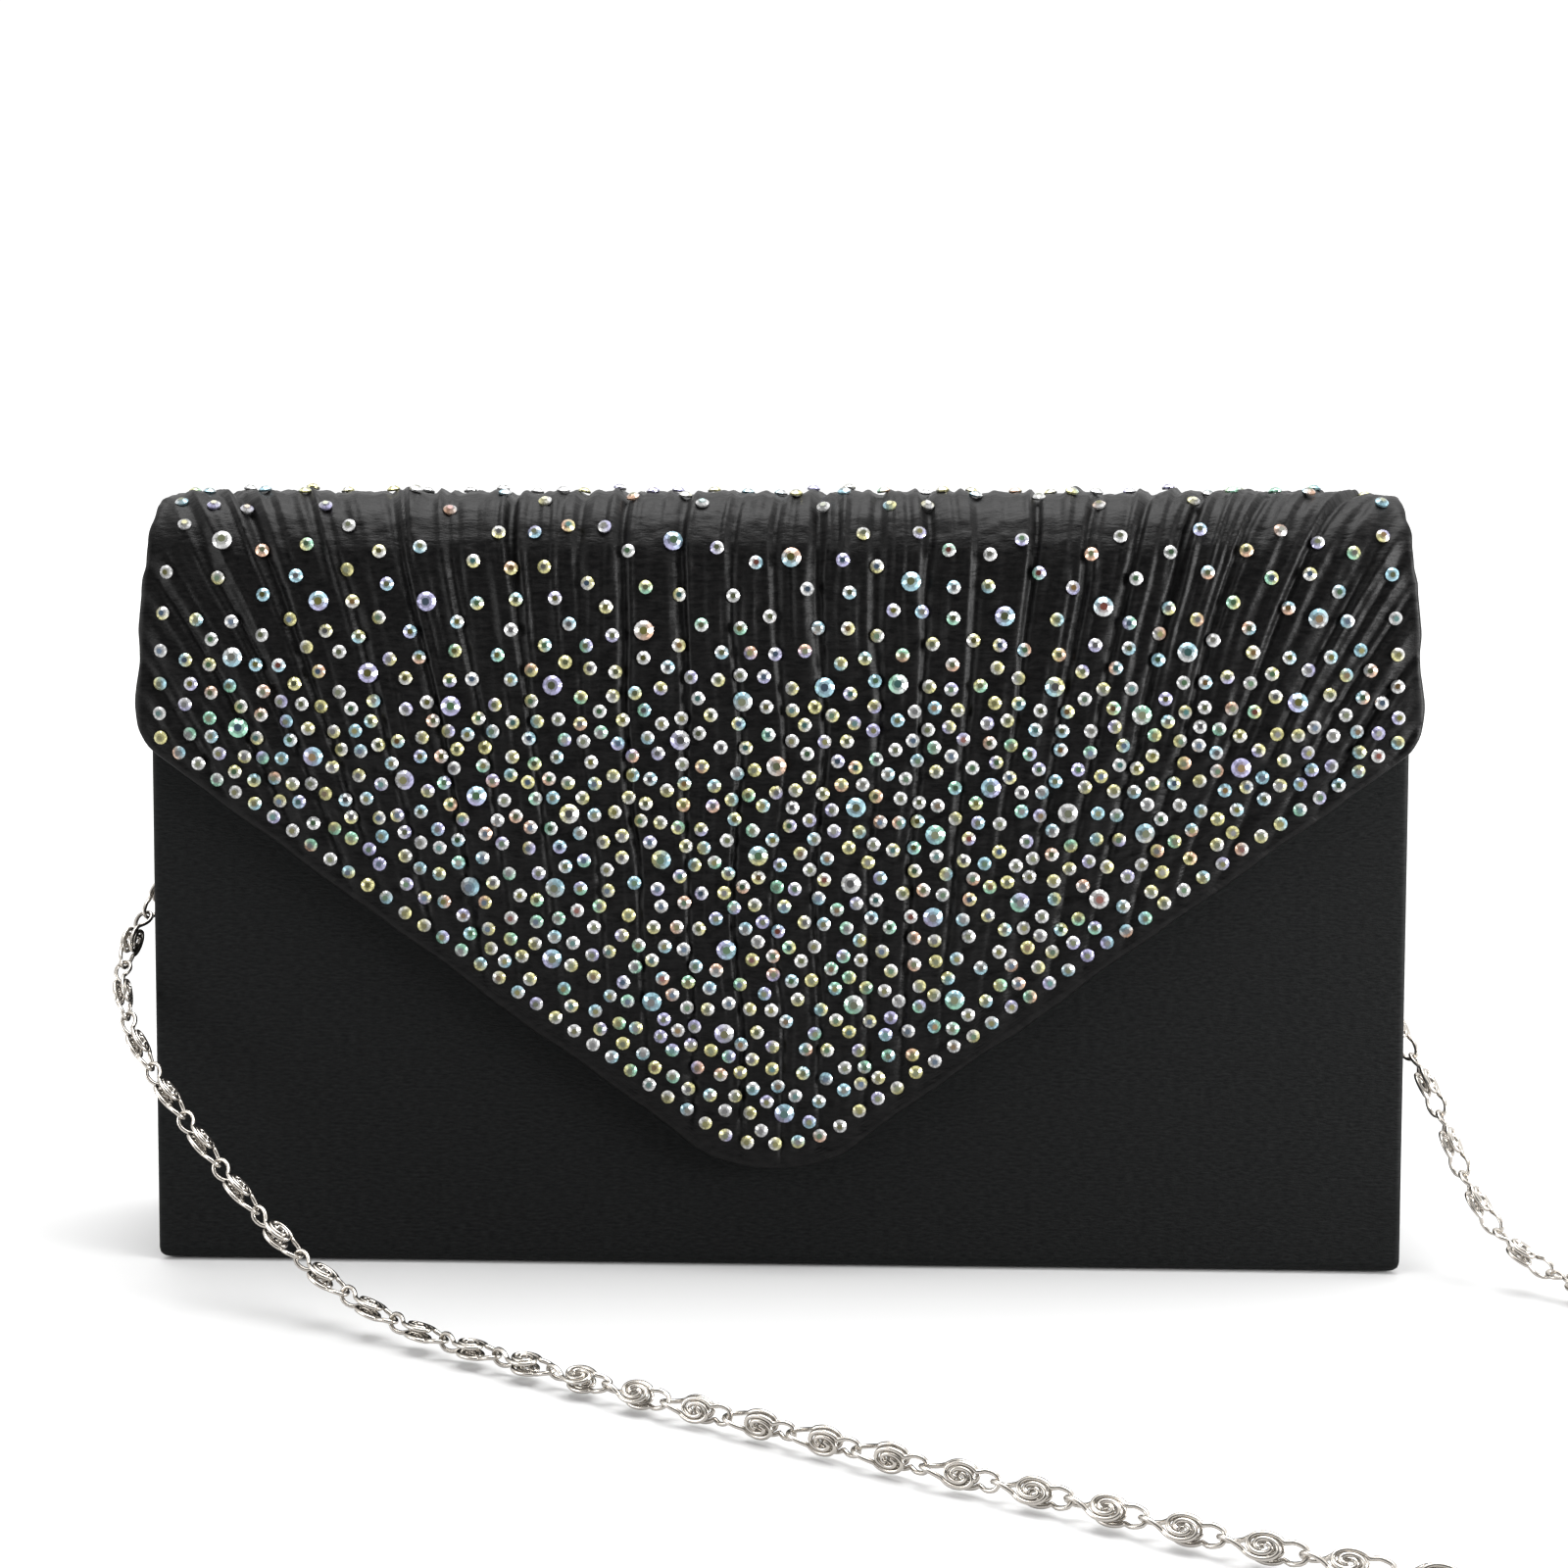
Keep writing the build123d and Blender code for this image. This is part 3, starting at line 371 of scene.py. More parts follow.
# ---- the chain's route ----
CHAIN_TOP = 86.68
FLOOR = 2.6                     # height of the chain's middle where it lies on the floor
LEFT_ROUTE = [
    (-101.0, 0.0, CHAIN_TOP), (-101.4, -0.4, 78.0), (-104.0, -2.0, 69.5), (-108.5, -5.5, 62.0),
    (-112.4, -11.5, 55.5), (-112.8, -19.0, 49.0), (-109.4, -25.8, 42.0), (-103.8, -31.2, 35.2),
    (-97.0, -36.4, 28.4), (-89.6, -42.0, 21.4), (-81.4, -47.4, 14.4), (-72.0, -53.2, 8.0),
    (-61.0, -60.4, 3.9), (-48.6, -69.2, FLOOR), (-34.0, -78.6, FLOOR), (-16.0, -91.0, FLOOR),
    (3.0, -102.0, FLOOR), (22.0, -114.4, FLOOR), (42.0, -125.6, FLOOR), (61.0, -137.8, FLOOR),
    (80.5, -147.4, FLOOR), (99.5, -153.6, FLOOR), (118.0, -152.6, FLOOR), (133.5, -143.5, FLOOR),
    (145.5, -131.6, FLOOR),
]
RIGHT_ROUTE = [
    (101.0, 0.0, CHAIN_TOP), (101.3, -0.5, 77.0), (102.0, -1.6, 66.0), (103.0, -3.4, 54.0),
    (105.6, -6.0, 44.0), (109.6, -9.4, 36.4), (113.2, -13.6, 29.6), (115.4, -18.2, 22.6),
    (118.0, -22.4, 15.8), (121.6, -26.2, 9.8), (127.0, -30.2, 5.2), (134.0, -35.8, 2.9),
    (144.0, -43.0, FLOOR), (154.0, -52.6, FLOOR), (163.4, -61.4, 3.4),
]
COIL_X, COIL_Y = 158.0, -95.0
COIL_IN = (157.0, -124.2, FLOOR)
COIL_OUT = (172.6, -68.6, 7.4)
INNER, OUTER = 23.1, 29.0       # radii of the coil's turns
LAYER = 5.3                     # height of one layer of turns
COIL_TURNS = 3.42
TURN_POINTS = 16
# Turns at which the coil steps inwards, steps up a layer and steps out again, and how long each takes.
STEP_IN, STEP_OUT, STEP_SIDE = 0.84, 2.84, 0.16
STEP_UP, STEP_RISE = 1.72, 0.18


def coil_points():
    """The coil: out and in on the floor, then in and out on top of it."""
    made = []
    for step in range(1, int(COIL_TURNS * TURN_POINTS) + 1):
        turn = step / TURN_POINTS
        inward = smooth((turn - STEP_IN) / STEP_SIDE) - smooth((turn - STEP_OUT) / STEP_SIDE)
        height = FLOOR + LAYER * smooth((turn - STEP_UP) / STEP_RISE)
        radius = OUTER + (INNER - OUTER) * float(inward)
        angle = math.radians(270) + 2 * math.pi * turn
        made.append((COIL_X + radius * math.cos(angle), COIL_Y + radius * math.sin(angle), float(height)))
    return made


coil = coil_points()
control = LEFT_ROUTE + [COIL_IN] + coil[:-1] + [COIL_OUT] + RIGHT_ROUTE[::-1]
route_curve = bpy.data.curves.new("chain_route", "CURVE")
route_curve.dimensions = "3D"
spline = route_curve.splines.new("NURBS")
spline.points.add(len(control) - 1)
for point, place in zip(spline.points, control):
    point.co = (*[c * MM for c in place], 1.0)
spline.order_u = 3
spline.use_endpoint_u = True
spline.resolution_u = 10
route_object = bpy.data.objects.new("chain_route", route_curve)
route_mesh = bpy.data.meshes.new_from_object(route_object)
route = np.array([v.co for v in route_mesh.vertices], float) / MM
bpy.data.meshes.remove(route_mesh)
bpy.data.objects.remove(route_object)
bpy.data.curves.remove(route_curve)
if np.linalg.norm(route[0] - np.array(LEFT_ROUTE[0])) > 5:
    route = route[::-1]
along = np.concatenate([[0], np.cumsum(np.linalg.norm(np.diff(route, axis=0), axis=1))])
CHAIN_LENGTH = along[-1]


def on_route(s):
    """Points on the chain's line at lengths along it; straight past both ends."""
    s = np.asarray(s, float)
    found = np.stack([np.interp(s, along, route[:, k]) for k in range(3)], axis=-1)
    before = route[0] - route[1]
    after = route[-1] - route[-2]
    found += np.maximum(-s, 0)[..., None] * before / np.linalg.norm(before)
    found += np.maximum(s - CHAIN_LENGTH, 0)[..., None] * after / np.linalg.norm(after)
    return found


# ---- chain links ----
# A link is two bent wires. Each wire's ends wind into a scroll in the front layer and one in the back layer.
# Points are lengths along the link, across it, and off its plane.
WIRE_R = 0.37
WIRE_SIDES = 7
SCROLL_AT = 5.35                  # middle of the scrolls, along the link
SCROLL_LONG, SCROLL_WIDE = 2.98, 1.9
BAIL = [(2.1, 0.62, 1.16), (1.2, 0.3, 1.42), (0.1, 0.06, 1.3), (-0.62, 0.0, 0.74), (-0.86, 0.0, 0.0)]
NOSE = [(8.9, -1.3, 0.36), (9.9, -1.22, 0.1), (10.7, -0.84, 0.0), (11.02, 0.0, 0.0)]


def scroll_arm(leaving):
    """One arm of the front scroll, from its middle out to where it leaves at an angle."""
    t = np.linspace(1, 0, 30)
    angle = math.radians(leaving) - t * math.radians(385)
    shrink = t ** 0.95
    long = SCROLL_LONG - (SCROLL_LONG - 0.72) * shrink
    wide = SCROLL_WIDE - (SCROLL_WIDE - 0.42) * shrink
    rise = 0.72 + 0.22 * shrink
    return np.stack([SCROLL_AT + long * np.cos(angle), wide * np.sin(angle), rise], axis=1)


def both_layers(front):
    """A wire from the front scroll's middle to the back scroll's, given its front half."""
    return np.concatenate([front, front[-2::-1] * np.array([1, -1, -1])])


def through(points, steps):
    """A smooth line through points."""
    padded = np.concatenate([[2 * points[0] - points[1]], points, [2 * points[-1] - points[-2]]])
    made = []
    for a, b, c, d in zip(padded, padded[1:], padded[2:], padded[3:]):
        for k in range(steps):
            t = k / steps
            square, cube = 2 * a - 5 * b + 4 * c - d, 3 * b - a - 3 * c + d
            made.append(0.5 * (2 * b + (c - a) * t + square * t * t + cube * t ** 3))
    made.append(points[-1])
    return np.array(made)


def tube(line, radius, sides):
    """Rings of points round a line, with closed ends."""
    tangent = np.gradient(line, axis=0)
    tangent /= np.linalg.norm(tangent, axis=1)[:, None]
    normal = np.cross(tangent[0], (0.31, 0.22, 0.92))
    rings = []
    for p, t in zip(line, tangent):
        normal = normal - np.dot(normal, t) * t
        normal /= np.linalg.norm(normal)
        other = np.cross(t, normal)
        angle = np.arange(sides) / sides * 2 * math.pi
        rings.append(p + radius * (np.cos(angle)[:, None] * normal + np.sin(angle)[:, None] * other))
    return np.array(rings)


def wire_mesh(line, radius, sides):
    """Points and faces of a bent wire with closed ends."""
    index = np.arange(len(line) * sides).reshape(len(line), sides)
    near, far = index[:-1], index[1:]
    faces = np.stack([near, np.roll(near, -1, axis=1), np.roll(far, -1, axis=1), far], axis=-1)
    faces = faces.reshape(-1, 4).tolist() + [index[0][::-1].tolist(), index[-1].tolist()]
    return tube(line, radius, sides).reshape(-1, 3), faces


link_points, link_faces = [], []
for leaving, loop in ((150, BAIL), (-30, NOSE)):
    line = through(both_layers(np.concatenate([scroll_arm(leaving), np.array(loop)])), 2)
    points, faces = wire_mesh(line, WIRE_R, WIRE_SIDES)
    offset = sum(len(p) for p in link_points)
    link_points.append(points)
    link_faces += [[i + offset for i in face] for face in faces]
link_local = np.concatenate(link_points)

FIRST = -0.6                      # the first link's origin, so that its loop hangs in the jump ring
LAST = CHAIN_LENGTH - 9.5         # the last link's, so that its wide end hangs in the other jump ring
LINK_PITCH = 11.0
LINK_LOW, LINK_MID, LINK_HIGH = -1.2, 4.0, 9.2   # a link's ends and its balance point, along it
VIEW_TILT = 0.42                  # links face the viewer, and a little upwards
link_count = int(round((LAST - FIRST) / LINK_PITCH)) + 1
# How far the links are turned away from the viewer, in degrees, at lengths along the chain.
TWIST_AT = [0, 40, 75, 110, 152, 172, 182, 196, 216, 232, 246, 290, 330, 900, 960, 1000, 1060]
TWIST = [-30, -62, -55, -47, -50, -20, 4, 44, 54, 40, 8, 2, 14, 20, 44, 56, 50]
chance = np.random.default_rng(5)
chain_points, chain_faces = [], []
eye = np.array(EYE) / MM
for number in range(link_count):
    s0 = FIRST + (LAST - FIRST) * number / (link_count - 1)
    a, b = on_route(s0 + LINK_LOW), on_route(s0 + LINK_HIGH)
    tangent = (b - a) / np.linalg.norm(b - a)
    start = on_route(s0 + LINK_MID) - tangent * LINK_MID
    toward = eye - start
    toward = toward / np.linalg.norm(toward) + np.array([0, 0, VIEW_TILT])
    face = toward - np.dot(toward, tangent) * tangent
    face /= np.linalg.norm(face)
    turned = np.interp(s0 + 5, TWIST_AT, TWIST) + chance.uniform(-7, 7)
    roll = math.radians(turned)
    across = np.cross(tangent, face)
    face, across = (
        math.cos(roll) * face + math.sin(roll) * across,
        math.cos(roll) * across - math.sin(roll) * face,
    )
    u, v, w = link_local[:, 0], link_local[:, 1], link_local[:, 2]
    centre = on_route(s0 + u) * 0.6 + (start + u[:, None] * tangent) * 0.4
    chain_points.append(centre + v[:, None] * across + w[:, None] * face)
    offset = number * len(link_local)
    chain_faces.extend([[p + offset for p in face] for face in link_faces])
chain_points = np.concatenate(chain_points)
chain_points[:, 2] = np.maximum(chain_points[:, 2], 0.02)
chain = add_mesh("chain", chain_points, chain_faces, chain_metal)
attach(chain, "shell")
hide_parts("left_chain", "right_chain", "chain_coil")

# ---- the flap's shape on the flat ----
FLAP_W_TOP, FLAP_W_MID, FLAP_W_LOW = 209.2, 214.8, 216.4
CORNER_Z, APEX_Z = 90.5, 12.4
CORNER_R, TIP_R = 5.0, 25.0
SEAM_Y = BACK_Y + 0.6
flap_path = Path(
    1,
    ("line", (SEAM_Y, BAG_H), (FRONT_Y, BAG_H)),
    ("arc", (FRONT_Y, FRONT_Z), FRONT_R, 90, 90 + TURN),
    ("line", (-wall_y(FRONT_Z + FRONT_R * math.sin(LEAN), FLAP_OUT), FRONT_Z + FRONT_R * math.sin(LEAN)),
     (-wall_y(12.0, FLAP_OUT), 12.0)),
)
SEAM_TO_MID = SEAM_Y - MID_Y
LOW_END = FRONT_Z + FRONT_R * math.sin(LEAN)
ARC_RUN = (SEAM_Y - FRONT_Y) + math.radians(TURN) * FRONT_R


def height_at(run):
    """Height on the flap at a length from the seam."""
    low = LOW_END - (run - ARC_RUN) * math.cos(LEAN)
    return np.where(run > ARC_RUN, low, np.interp(run, flap_path.run, flap_path.z))


def run_at(height):
    """Length from the seam to a height on the flap's straight part."""
    return ARC_RUN + (LOW_END - height) / math.cos(LEAN)


def flap_outline(inset):
    """Half of the flap's outline from the seam to the tip: widths and runs, with rounded corners."""
    slant = (CORNER_Z - APEX_Z) / (FLAP_W_LOW / 2)
    drop = inset * math.sqrt(1 + slant * slant)
    side = []
    for z in np.linspace(BAG_H + 2, CORNER_Z, 90):
        share = (z - CORNER_Z) / (BAG_H + 2 - CORNER_Z)
        bow = 4 * share * (1 - share) * (FLAP_W_MID - (FLAP_W_TOP + FLAP_W_LOW) / 2) / 2
        side.append(((FLAP_W_LOW + share * (FLAP_W_TOP - FLAP_W_LOW)) / 2 + bow - inset, z))
    radius = CORNER_R - inset / 2
    lean_in = math.atan(slant)
    corner_x = FLAP_W_LOW / 2 - inset
    corner_z = APEX_Z + drop + slant * corner_x
    back = radius * math.tan((math.pi / 2 - lean_in) / 2)
    centre_x, centre_z = corner_x - radius, corner_z + back
    line = [(x, z) for x, z in side if z > centre_z]
    for step in range(0, 13):
        angle = -(math.pi / 2 - lean_in) * step / 12
        line.append((centre_x + radius * math.cos(angle), centre_z + radius * math.sin(angle)))
    tip_r = TIP_R - inset
    tip_z = APEX_Z + drop + tip_r / math.cos(lean_in)
    first = (tip_r * math.sin(lean_in), tip_z - tip_r * math.cos(lean_in))
    last = line[-1]
    for step in range(1, 12):
        t = step / 12
        line.append((last[0] + t * (first[0] - last[0]), last[1] + t * (first[1] - last[1])))
    for step in range(0, 25):
        angle = lean_in * (1 - step / 24)
        line.append((tip_r * math.sin(angle), tip_z - tip_r * math.cos(angle)))
    xs = np.array([p[0] for p in line])
    zs = np.array([p[1] for p in line])
    return xs, zs


def flap_rows(inset, step):
    """Rows of the flap's grid and its half width at each."""
    xs, zs = flap_outline(inset)
    top_rows = np.arange(0, ARC_RUN, step)
    top_half = np.interp(-height_at(top_rows), -zs, xs)
    low = zs[-1]
    tip_band = 1.6
    flat = np.linspace(LOW_END, low + tip_band, int((LOW_END - low - tip_band) / step))
    swing = np.linspace(math.acos(1 - tip_band / (TIP_R - inset)), 0, 14)[1:]
    tip = low + (TIP_R - inset) * (1 - np.cos(swing))
    heights = np.concatenate([flat, tip])
    half = np.interp(-heights, -zs, xs)
    half[-1] = 0.0
    return np.concatenate([top_rows, run_at(heights)]), np.concatenate([top_half, half])


# ---- pleats ----
FAN = 6.1e-5                     # how the pleats draw together down the flap, per mm across and down
MARK_SPAN = 250.0                # pleats are placed this far to both sides
CREASE_GAP, FOLD_GAP = (6.4, 9.4), (2.3, 4.6)
CREASE_DEPTH, FOLD_HEIGHT = (0.55, 1.15), (0.15, 1.0)
CREASE_WIDE, CREASE_WIDER = 0.5, 0.4     # half width of a crease, and how much wider it is at the top
FOLD_REACH = (24, 62)            # how far down the soft folds run
FOLD_SHARE, CROWN_HEIGHT = 0.9, 0.3
LIP_HEIGHT, LIP_WIDE = 0.34, 0.5
TOP_REACH = 60                   # length over which the creases change from their look at the top
AWAY_SHARE = 0.75                # share of the creases whose lip points away from the middle
LOWEST = -0.4                    # creases deeper than this are almost cut off


def pleat_marks(low, high, draw):
    """Places of pleats across the top, wider apart where the fan closes them up again."""
    found = [-MARK_SPAN]
    while found[-1] < MARK_SPAN:
        found.append(found[-1] + draw.uniform(low, high) * (1 + FAN * 50 * abs(found[-1])) ** 2)
    return np.array(found)


chance = np.random.default_rng(21)
creases = pleat_marks(*CREASE_GAP, chance)
crease_depth = chance.uniform(*CREASE_DEPTH, len(creases))
away = np.where(creases < 0, -1.0, 1.0)
crease_side = np.where(chance.random(len(creases)) < AWAY_SHARE, away, -away)
crease_phase = chance.uniform(0, 6.28, len(creases))
folds = pleat_marks(*FOLD_GAP, chance)
fold_height = chance.uniform(*FOLD_HEIGHT, len(folds))
fold_reach = chance.uniform(*FOLD_REACH, len(folds))
fold_peak = chance.uniform(0.2, 0.75, len(folds))


def pleats(x, run):
    """Height of the gathered satin over the flap's skin.

    Narrow creases with a raised lip on one side and soft folds between them start at the seam and fade out
    down the flap; fine creases and a slight crinkle lie over all of it.
    """
    s = run - SEAM_TO_MID
    near = np.clip(1 - FAN * np.maximum(s, 0) * np.abs(x), 0.3, 1)
    x0 = x / near
    x0 = x0 + 1.3 * noise(x0 / 30, s / 26, 1) + 0.35 * noise(x0 / 8, s / 9, 2)
    k = np.clip(np.searchsorted(creases, x0) - 1, 0, len(creases) - 2)
    left, right = (x0 - creases[k]) * near ** 2, (creases[k + 1] - x0) * near ** 2
    top = 1 - smooth((s - 6) / TOP_REACH)
    broad = CREASE_WIDE + CREASE_WIDER * top
    groove = 0
    for i, off in ((k, left), (k + 1, right)):
        swell = 0.8 + 0.2 * np.sin(s / 19 + crease_phase[i])
        groove = groove + crease_depth[i] * swell * np.exp(-(off / broad) ** 2)
    lip_at = 1.3 * broad + 0.3
    lip = np.where(crease_side[k] > 0, np.exp(-((left - lip_at) / LIP_WIDE) ** 2), 0)
    lip = lip + np.where(crease_side[k + 1] < 0, np.exp(-((right - lip_at) / LIP_WIDE) ** 2), 0)
    crown = CROWN_HEIGHT * np.clip(4 * left * right / (left + right) ** 2, 0, 1)
    j = np.clip(np.searchsorted(folds, x0 + 0.8 * noise(x0 / 5, s / 15, 6)) - 1, 0, len(folds) - 2)
    t = np.clip((x0 - folds[j]) / (folds[j + 1] - folds[j]), 0, 1)
    shape = np.where(t < fold_peak[j], smooth(t / fold_peak[j]), smooth((1 - t) / (1 - fold_peak[j])))
    fold = fold_height[j] * shape * (1 - smooth((s - 4) / fold_reach[j]))
    start = 0.45 + 0.55 * smooth((s + 6) / 8)
    fade = 1 - 0.25 * smooth((s - 30) / 70)
    crinkle = (1 - 0.25 * top) * (0.14 * noise(x / 1.6, s / 0.95, 5) + 0.1 * noise(x / 3.2, s / 2.1, 7))
    fine = (0.15 + 0.16 * top) * noise(x0 / 0.95, s / 16, 3) + 0.2 * noise(x0 / 2.3, s / 16, 8) + crinkle
    edges = crown + LIP_HEIGHT * lip * (0.15 + 0.85 * top) - (0.85 + 0.25 * top) * groove
    height = 0.3 + start * (FOLD_SHARE * fold + fade * edges) + fine
    return np.maximum(height, LOWEST + 0.12 * (height - LOWEST))


COVER_INSET = 1.0
PADDING = 1.7                    # how far the flap's face swells between its edges
rows, half = flap_rows(COVER_INSET, 0.62)
edge_x, edge_z = flap_outline(COVER_INSET)


def cover_lift(x, run):
    """Pleats that go flat at the flap's edge and are tucked in at the seam."""
    limit = np.interp(-height_at(run), -edge_z, edge_x)
    slope = np.where(height_at(run) < CORNER_Z - 3, 0.55, 1.0)
    inside = np.maximum((limit - np.abs(x)) * slope, 0)
    flat = 0.35 + 0.65 * smooth(inside / 4.5)
    tuck = -0.55 * (1 - smooth(run / 1.2))
    below = np.maximum(run - ARC_RUN + 5.0, 0)
    padding = PADDING * (1 - np.exp(-below / 11.0)) * smooth(inside / 26)
    return pleats(x, run) * flat + tuck + padding


def edge_wave(run):
    """How the gathered cloth bulges and draws in along the flap's edge."""
    return 1.0 * noise(run / 7.5, run * 0 + 0.5, 51) + 0.5 * noise(run / 2.9, run * 0 + 0.5, 52)


cover = wrapped(
    "pleated_cover", pleated, flap_path, rows, half, 560, cover_lift, PLEATED_DEPTH, PLEATED_HEM,
    closed_low=True, closed_top=False, wave=edge_wave,
)
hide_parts("spine_cover", "flap_cover")
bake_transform(cover)

# ---- plain satin of the walls ----
wall_arc = (-BODY_D / 2 + BASE_R * (1 + math.sin(LEAN)) / math.cos(LEAN), BASE_R)
front_path = Path(
    1,
    ("line", (-BODY_D / 2 + WALL_TOP * math.sin(LEAN), WALL_TOP * math.cos(LEAN)),
     (wall_arc[0] - BASE_R * math.cos(LEAN), BASE_R + BASE_R * math.sin(LEAN))),
    ("arc", wall_arc, BASE_R, 90 + TURN, 270),
    ("line", (wall_arc[0], 0.0), (-12.0, 0.0)),
)


def wall_rows(path, round_top, round_low, step):
    """Rows of a wall's grid, its half width at each, with the corners rounded."""
    end = path.run[-1]
    inner = BODY_W / 2 - WALL_SIDE
    marks_low = path.run[np.argmin(np.abs(path.z - BASE_R))]
    rows = [0.0, 0.12, 0.3, 0.55, 0.9, 1.35, 1.9] if round_top else [0.0]
    rows += list(np.arange(rows[-1] + step, marks_low - 3, step))
    rows += list(np.arange(marks_low - 3, end, 0.5)) + [end]
    rows = np.array(rows)
    half = np.full(len(rows), inner)
    if round_top:
        d = np.clip(WALL_CORNER - rows, 0, WALL_CORNER)
        half -= WALL_CORNER - np.sqrt(WALL_CORNER * WALL_CORNER - d * d)
    low = smooth((rows - marks_low) / 5.0)
    half -= round_low * low
    return rows, half


def front_lift(x, run):
    """A slight crown, and the unevenness of cloth pulled over board."""
    across = 1 - np.abs(2 * x / BODY_W) ** 4
    down = np.clip(run * (118 - run) / 59 ** 2, 0, 1) ** 0.6
    crown = across * down * (0.42 + 0.12 * noise(x / 42, run / 38, 31))
    return crown + 0.03 * down * noise(x / 9, run / 9, 32)


rows, half = wall_rows(front_path, True, BASE_TAPER, 1.3)
front = wrapped(
    "front_satin", satin, front_path, rows, half, 150, front_lift, SATIN_DEPTH, SATIN_HEM,
    closed_low=False, closed_top=True,
)
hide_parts("front_cover")
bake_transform(front)

back_path = Path(
    -1,
    ("line", (BACK_Y - 2.4, BAG_H), (BACK_Y, BAG_H)),
    ("arc", (BACK_Y, BACK_Z), BACK_R, 90, math.degrees(LEAN)),
    ("line", (BACK_Y + BACK_R * math.cos(LEAN), BACK_Z + BACK_R * math.sin(LEAN)),
     (-wall_arc[0] + BASE_R * math.cos(LEAN), BASE_R + BASE_R * math.sin(LEAN))),
    ("arc", (-wall_arc[0], BASE_R), BASE_R, math.degrees(LEAN), -90),
    ("line", (-wall_arc[0], 0.0), (-13.0, 0.0)),
)


def back_lift(x, run):
    """Tucked under the pleats at the seam, then a slight crown."""
    tuck = -0.5 * (1 - smooth((run - 2.4) / 1.4))
    across = 1 - np.abs(2 * x / BODY_W) ** 4
    down = np.clip((run - 16) * (133 - run) / 58 ** 2, 0, 1) ** 0.6
    under = np.where(run > 134.0, 0.06 * smooth((run - 160) / 3), 0.0)
    return tuck + across * down * (0.36 + 0.1 * noise(x / 40, run / 36, 41)) - under


coarse_rows, coarse_half = wall_rows(back_path, False, BASE_TAPER, 1.3)
back_rows = np.concatenate([np.arange(0, 4.2, 0.35), np.arange(4.2, 17, 0.7), coarse_rows[coarse_rows > 17]])
back_half = np.interp(back_rows, coarse_rows, coarse_half)
narrow = np.interp(back_rows, [0, 3, 10, 18], [-3.2, -2.8, -1.1, 0])   # drawn in towards the flap's seam
back = wrapped(
    "back_satin", satin, back_path, back_rows, back_half + narrow, 150, back_lift, SATIN_DEPTH, SATIN_HEM,
    closed_low=False, closed_top=False,
)
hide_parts("back_cover", "base_cover")
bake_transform(back)

# ---- linings that cross the folds ----
HINGE_LOW = 113.0                # where the strip's lining ends on the back wall
hinge_path = Path(
    -1,
    ("line", (MID_Y - 0.6, BAG_H), (BACK_Y, BAG_H)),
    ("arc", (BACK_Y, BACK_Z), BACK_R, 90, math.degrees(LEAN)),
    ("line", (BACK_Y + BACK_R * math.cos(LEAN), BACK_Z + BACK_R * math.sin(LEAN)),
     (wall_y(HINGE_LOW, 0), HINGE_LOW)),
)


def thin_sheet(name, path, rows, half, columns, near, thick, material):
    """Two faces of a thin cloth and the edge between them; near is its depth under the path."""
    across = np.linspace(-1, 1, columns)
    x = half[:, None] * across[None, :]
    run = np.repeat(rows[:, None], columns, axis=1)
    uv = np.stack([x, run], axis=-1)
    patch = Patch()
    patch.grid(path.place(x, run, -near(run)), uv, flip=True)
    patch.grid(path.place(x, run, -near(run) - thick), uv)
    for j, turn in ((0, True), (columns - 1, False)):
        rim = [path.place(x[:, j], rows, -near(rows) - gap) for gap in (0, thick)]
        patch.grid(np.stack(rim), np.stack([uv[:, j], uv[:, j]]), flip=turn)
    for i, turn in ((0, False), (len(rows) - 1, True)):
        if half[i] > 1e-6:
            rim = [path.place(x[i], run[i], -near(run[i]) - gap) for gap in (0, thick)]
            patch.grid(np.stack(rim), np.stack([uv[i], uv[i]]), flip=turn)
    return patch.build(name, material)


hinge_end = hinge_path.run[-1]
hinge_rows = np.append(np.arange(0, hinge_end, 0.8), hinge_end)


def hinge_under(run):
    """Depth of the strip's lining: under its board, then over the wall's lining."""
    return 2.1 + 0.42 * smooth((run - hinge_end + 9) / 5)


hinge_lining = thin_sheet(
    "hinge_lining", hinge_path, hinge_rows, np.full(len(hinge_rows), FLAP_W_TOP / 2 - 1.4), 60,
    hinge_under, LINING_T, lining,
)
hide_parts("spine_lining")
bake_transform(hinge_lining)



def flap_under(run):
    """Depth of the flap's lining, which lies on the back of its board."""
    return np.full(np.shape(run), 2.02)


LINING_INSET = 3.2               # from the flap's edge to its lining's
rows, half = flap_rows(LINING_INSET, 1.2)
keep_rows = rows > SEAM_TO_MID - 1.0
flap_lining = thin_sheet(
    "flap_inner", flap_path, rows[keep_rows], half[keep_rows], 90, flap_under, FLAP_LINING_T, lining,
)
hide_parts("flap_lining")
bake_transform(flap_lining)

